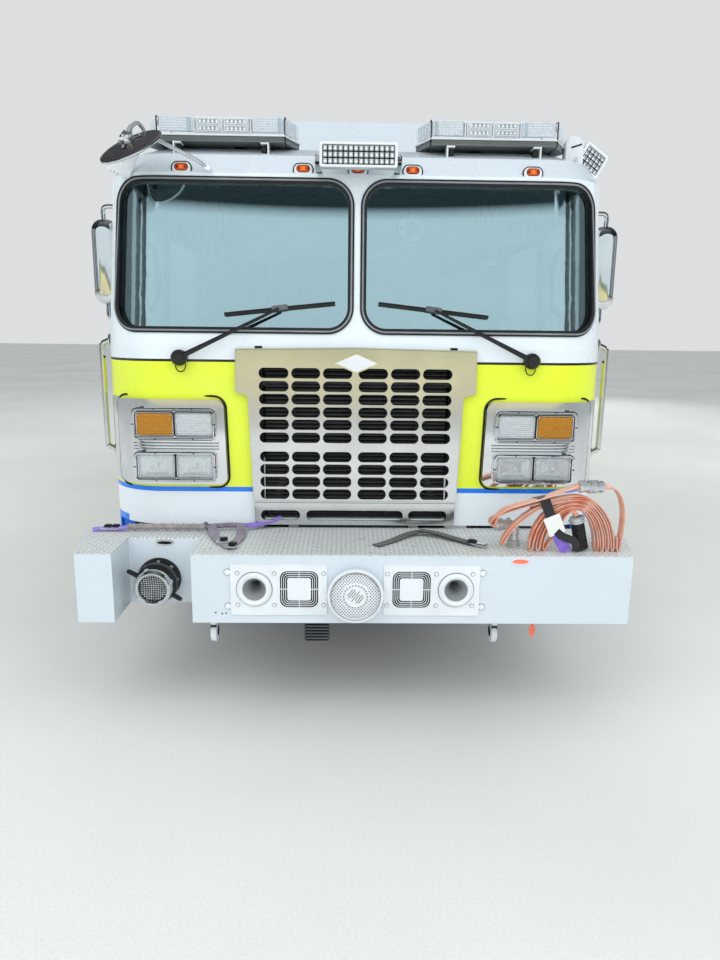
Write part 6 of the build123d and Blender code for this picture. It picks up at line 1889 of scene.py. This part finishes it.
def make_dash_details():
    """Steering wheel grip and spokes, gauge rims, a fan on its stalk and a grab bar at each post."""
    form = Form("dash_details")
    wheel = place(620, CAB_FACE + 700, 1740, (-30, 0, 0))
    form.add(hoop(230, 15, 56, 12), "black", wheel)
    form.add(lathe([(58, -10), (62, 4), (52, 18), (0, 22)], 30), "black", wheel)
    for turn in (90, 210, 330):
        form.add(tube([(*polar(50, turn), 8), (*polar(222, turn), 0)], 13, 10, 0.4), "black", wheel)
    for step in range(5):
        gauge = lathe([(38, 0), (38, 6), (33, 8), (0, 8)], 28)
        form.add(gauge, "black", place(440 + step * 90, CAB_FACE + 612, 1628, (50, 0, 180)))
    fan = place(FAN_X, FAN_Y, FAN_Z, FRONT)
    form.add(lathe([(0, 0), (70, 0), (74, 6), (74, 10), (0, 12)], 30), "grey", fan)
    for radius in (74, 54, 34):
        form.add(hoop(radius, 2, 36, 6), "pale", place(FAN_X, FAN_Y - 12, FAN_Z, FRONT))
    for turn in range(5):
        blade = [(*polar(12, 72 * turn), 8), (*polar(62, 72 * turn), 14)]
        form.add(flat_strap(blade, 34, 2), "pale", fan)
    stalk = [(FAN_X, FAN_Y + 10, FAN_Z), (246, FAN_Y + 30, 2300), (240, FAN_Y + 50, 2440)]
    form.add(tube(flowing(stalk), 7, 8), "black")
    bar = [
        (1010, CAB_FACE + 300, 1800),
        (985, CAB_FACE + 340, 1860),
        (980, CAB_FACE + 340, 2050),
        (1000, CAB_FACE + 300, 2120),
    ]
    form.both(tube(flowing(bar), 14, 12, 1, (0, 1, 0)), "black")
    form.done("grey_plastic")


# Sides
ARCH_RADIUS, ARCH_LOW = 646, 566
RAILS_Y = (CAB_FACE + 258, CAB_FACE + 2330)
RAIL_LOW, RAIL_HIGH = 1120, 1660
HANDLES_Y = {"front": CAB_FACE + 1020, "rear": CAB_FACE + 3120}
HANDLE_Z = 1560


def make_side_hardware():
    """Arch trims and grab rails along the cab, and the handles on its doors."""
    form = Form("cab_side_trim")
    arc = []
    for degrees in range(4, 177, 6):
        y, z = polar(ARCH_RADIUS, degrees)
        if TYRE_RADIUS + z > ARCH_LOW:
            arc.append((CAB_HALF + 4, AXLES["front"] + y, TYRE_RADIUS + z))
    form.both(flat_strap(arc, 12, 16, (1, 0, 0)), "steel")
    for y in RAILS_Y:
        rail = [(2, RAIL_LOW), (40, RAIL_LOW + 20), (44, RAIL_LOW + 60)]
        rail += [(44, RAIL_HIGH - 60), (40, RAIL_HIGH - 20), (2, RAIL_HIGH)]
        rail = flowing([(CAB_HALF + out, y, z) for out, z in rail], 5)
        form.both(tube(rail, 14, 14, 1, (0, 1, 0)), "steel")
        for z in (RAIL_LOW, RAIL_HIGH):
            form.both(lathe([(30, 0), (30, 5), (20, 9), (0, 9)], 24), "steel", place(CAB_HALF, y, z, LEFT))
    form.done("polished_steel")
    for side, name in SIDES.items():
        for end, y in HANDLES_Y.items():
            handle = Form(f"{end}_door_handle_{name}", f"{end}_door_{name}")
            at = FLIPS[side] @ place(CAB_HALF, y, HANDLE_Z, (90, 0, 90))
            handle.add(slab(rounded(150, 66, 20, 5), 0, 8, 2), "chrome", at)
            grip = [(8, -52), (30, -40), (32, 30), (8, 52)]
            grip = flowing([(CAB_HALF + out, y + along, HANDLE_Z + 6) for out, along in grip], 5)
            handle.add(tube(grip, 10, 12, 0.8, (0, 0, 1)), "chrome", FLIPS[side] @ place(0, 0, 0))
            handle.done("chrome")


# Stage and light
EVEN_LIGHT = (0.74, 0.76, 0.775, 1)
BACKDROP = (0.72, 0.735, 0.745, 1)
FLOOR_REACH, FLOOR_FRONT = 60, 17
LAMP_TARGET = Vector((0, NOSE + 2, 1.2))
LAMPS = [
    ("key", (-5, NOSE - 5.5, 7.5), 7, 280),
    ("fill", (6, NOSE - 5, 6.5), 7, 240),
    ("centre", (0, NOSE - 8, 2.6), 5, 120),
    ("top", (0, NOSE - 1, 8.0), 7, 95),
    ("back", (4, 11, 6.0), 7, 330),
    ("side", (-11, 1, 5.0), 6, 280),
    ("other_side", (11, 1, 5.0), 6, 280),
]
# What gloss sees by the sine of its height: floor, the lime and dark at the horizon, daylight, the lintel
GLOSS_LEVELS = [
    (-1.0, (0.62, 0.62, 0.6, 1)),
    (-0.12, (0.86, 0.80, 0.56, 1)),
    (-0.03, (0.98, 0.90, 0.48, 1)),
    (-0.012, (0.34, 0.38, 0.22, 1)),
    (0.012, (0.26, 0.31, 0.26, 1)),
    (0.03, (0.74, 0.84, 0.88, 1)),
    (0.334, (0.84, 0.93, 0.97, 1)),
    (0.339, (0.03, 0.045, 0.05, 1)),
    (0.62, (0.09, 0.105, 0.11, 1)),
    (1.0, (0.26, 0.27, 0.28, 1)),
]
# How bright it is by how far to the side gloss looks: the wide middle door, and two narrow ones
GLOSS_LOBES = [
    (0.0, 1.0), (0.64, 1.0), (0.66, 0.1), (0.76, 0.14), (0.775, 0.8), (0.80, 0.8),
    (0.815, 0.12), (0.90, 0.16), (0.91, 0.6), (0.96, 0.6), (0.97, 0.2), (1.0, 0.25),
]


def make_stage():
    """A pale floor that keeps the truck's shadow."""
    s = Shader("pale_floor")
    speck = s.ramp(s.noise(90, 3), [(0.4, 0.0), (0.7, 0.25)])
    broad = s.mottled(tone(218, 220, 218), tone(208, 210, 209), 0.4)
    s.set(Base_Color=s.mix(broad, tone(188, 188, 186), speck), Roughness=0.7, Specular_IOR_Level=0.15)
    mesh = bpy.data.meshes.new("floor")
    outline = [(-FLOOR_REACH, -FLOOR_FRONT), (FLOOR_REACH, -FLOOR_FRONT)]
    outline += [(FLOOR_REACH, FLOOR_REACH), (-FLOOR_REACH, FLOOR_REACH)]
    mesh.from_pydata(layer(outline, 0), [], [(0, 1, 2, 3)])
    mesh.materials.append(s.material)
    linked("floor", mesh)


def make_world():
    """Even light all round; gloss sees bright daylight low down in front, dark above it and at the sides."""
    world = bpy.data.worlds.new("studio")
    bpy.context.scene.world = world
    world.use_nodes = True
    s = Nodes(world.node_tree)
    ray = s.add("ShaderNodeTexCoord").outputs["Generated"]
    x, y, z = s.add("ShaderNodeSeparateXYZ", {0: ray}).outputs
    flat = s.math("SQRT", s.math("ADD", s.math("MULTIPLY", x, x), s.math("MULTIPLY", y, y)))
    aside = s.math("DIVIDE", s.math("ABSOLUTE", x), s.math("ADD", flat, 0.001))
    lintel = s.math("ADD", z, s.math("MULTIPLY", s.math("POWER", aside, 2.0), 0.03))
    height = s.math("ADD", s.math("MULTIPLY", lintel, 0.5), 0.5)
    level = s.ramp(height, [(0.5 + 0.5 * at, colour) for at, colour in GLOSS_LEVELS])
    seen = s.mix(level, s.ramp(aside, GLOSS_LOBES), 1.0, "MULTIPLY")
    path = s.add("ShaderNodeLightPath").outputs
    even = s.mix(EVEN_LIGHT, seen, path["Is Glossy Ray"])
    direct = s.math("MAXIMUM", path["Is Camera Ray"], path["Is Transmission Ray"])
    background = s.tree.nodes["Background"]
    s.put(background.inputs["Color"], s.mix(even, BACKDROP, direct))
    background.inputs["Strength"].default_value = 1.0


def make_lamps():
    """Wide soft lamps in front, above, behind and at the sides, unseen in the gloss."""
    for name, spot, size, power in LAMPS:
        data = bpy.data.lights.new(name, "AREA")
        data.size, data.energy = size, power
        lamp = linked(name, data)
        lamp.location = spot
        lamp.rotation_euler = (LAMP_TARGET - Vector(spot)).to_track_quat("-Z", "Y").to_euler()
        lamp.visible_glossy = False


make_camera()
hoses = make_hoses()
make_pair_coupling()
make_hose_fittings()
make_hose_ties()
dress_cad()
make_grille()
make_radiator_fins()
make_headlamps()
make_bezel_edge()
make_bezel_wraps()
make_gasket_highlight()
make_markers()
make_light_bars()
make_floods()
make_corner_flood()
make_door_mirrors()
make_nose_mirror()
make_wipers()
make_horns_and_speakers()
make_siren()
make_intake()
make_bumper_trim()
make_straps()
make_wheels()
make_seats()
make_dash_details()
make_side_hardware()
make_stage()
make_world()
make_lamps()

bpy.context.scene.view_settings.view_transform = "Standard"
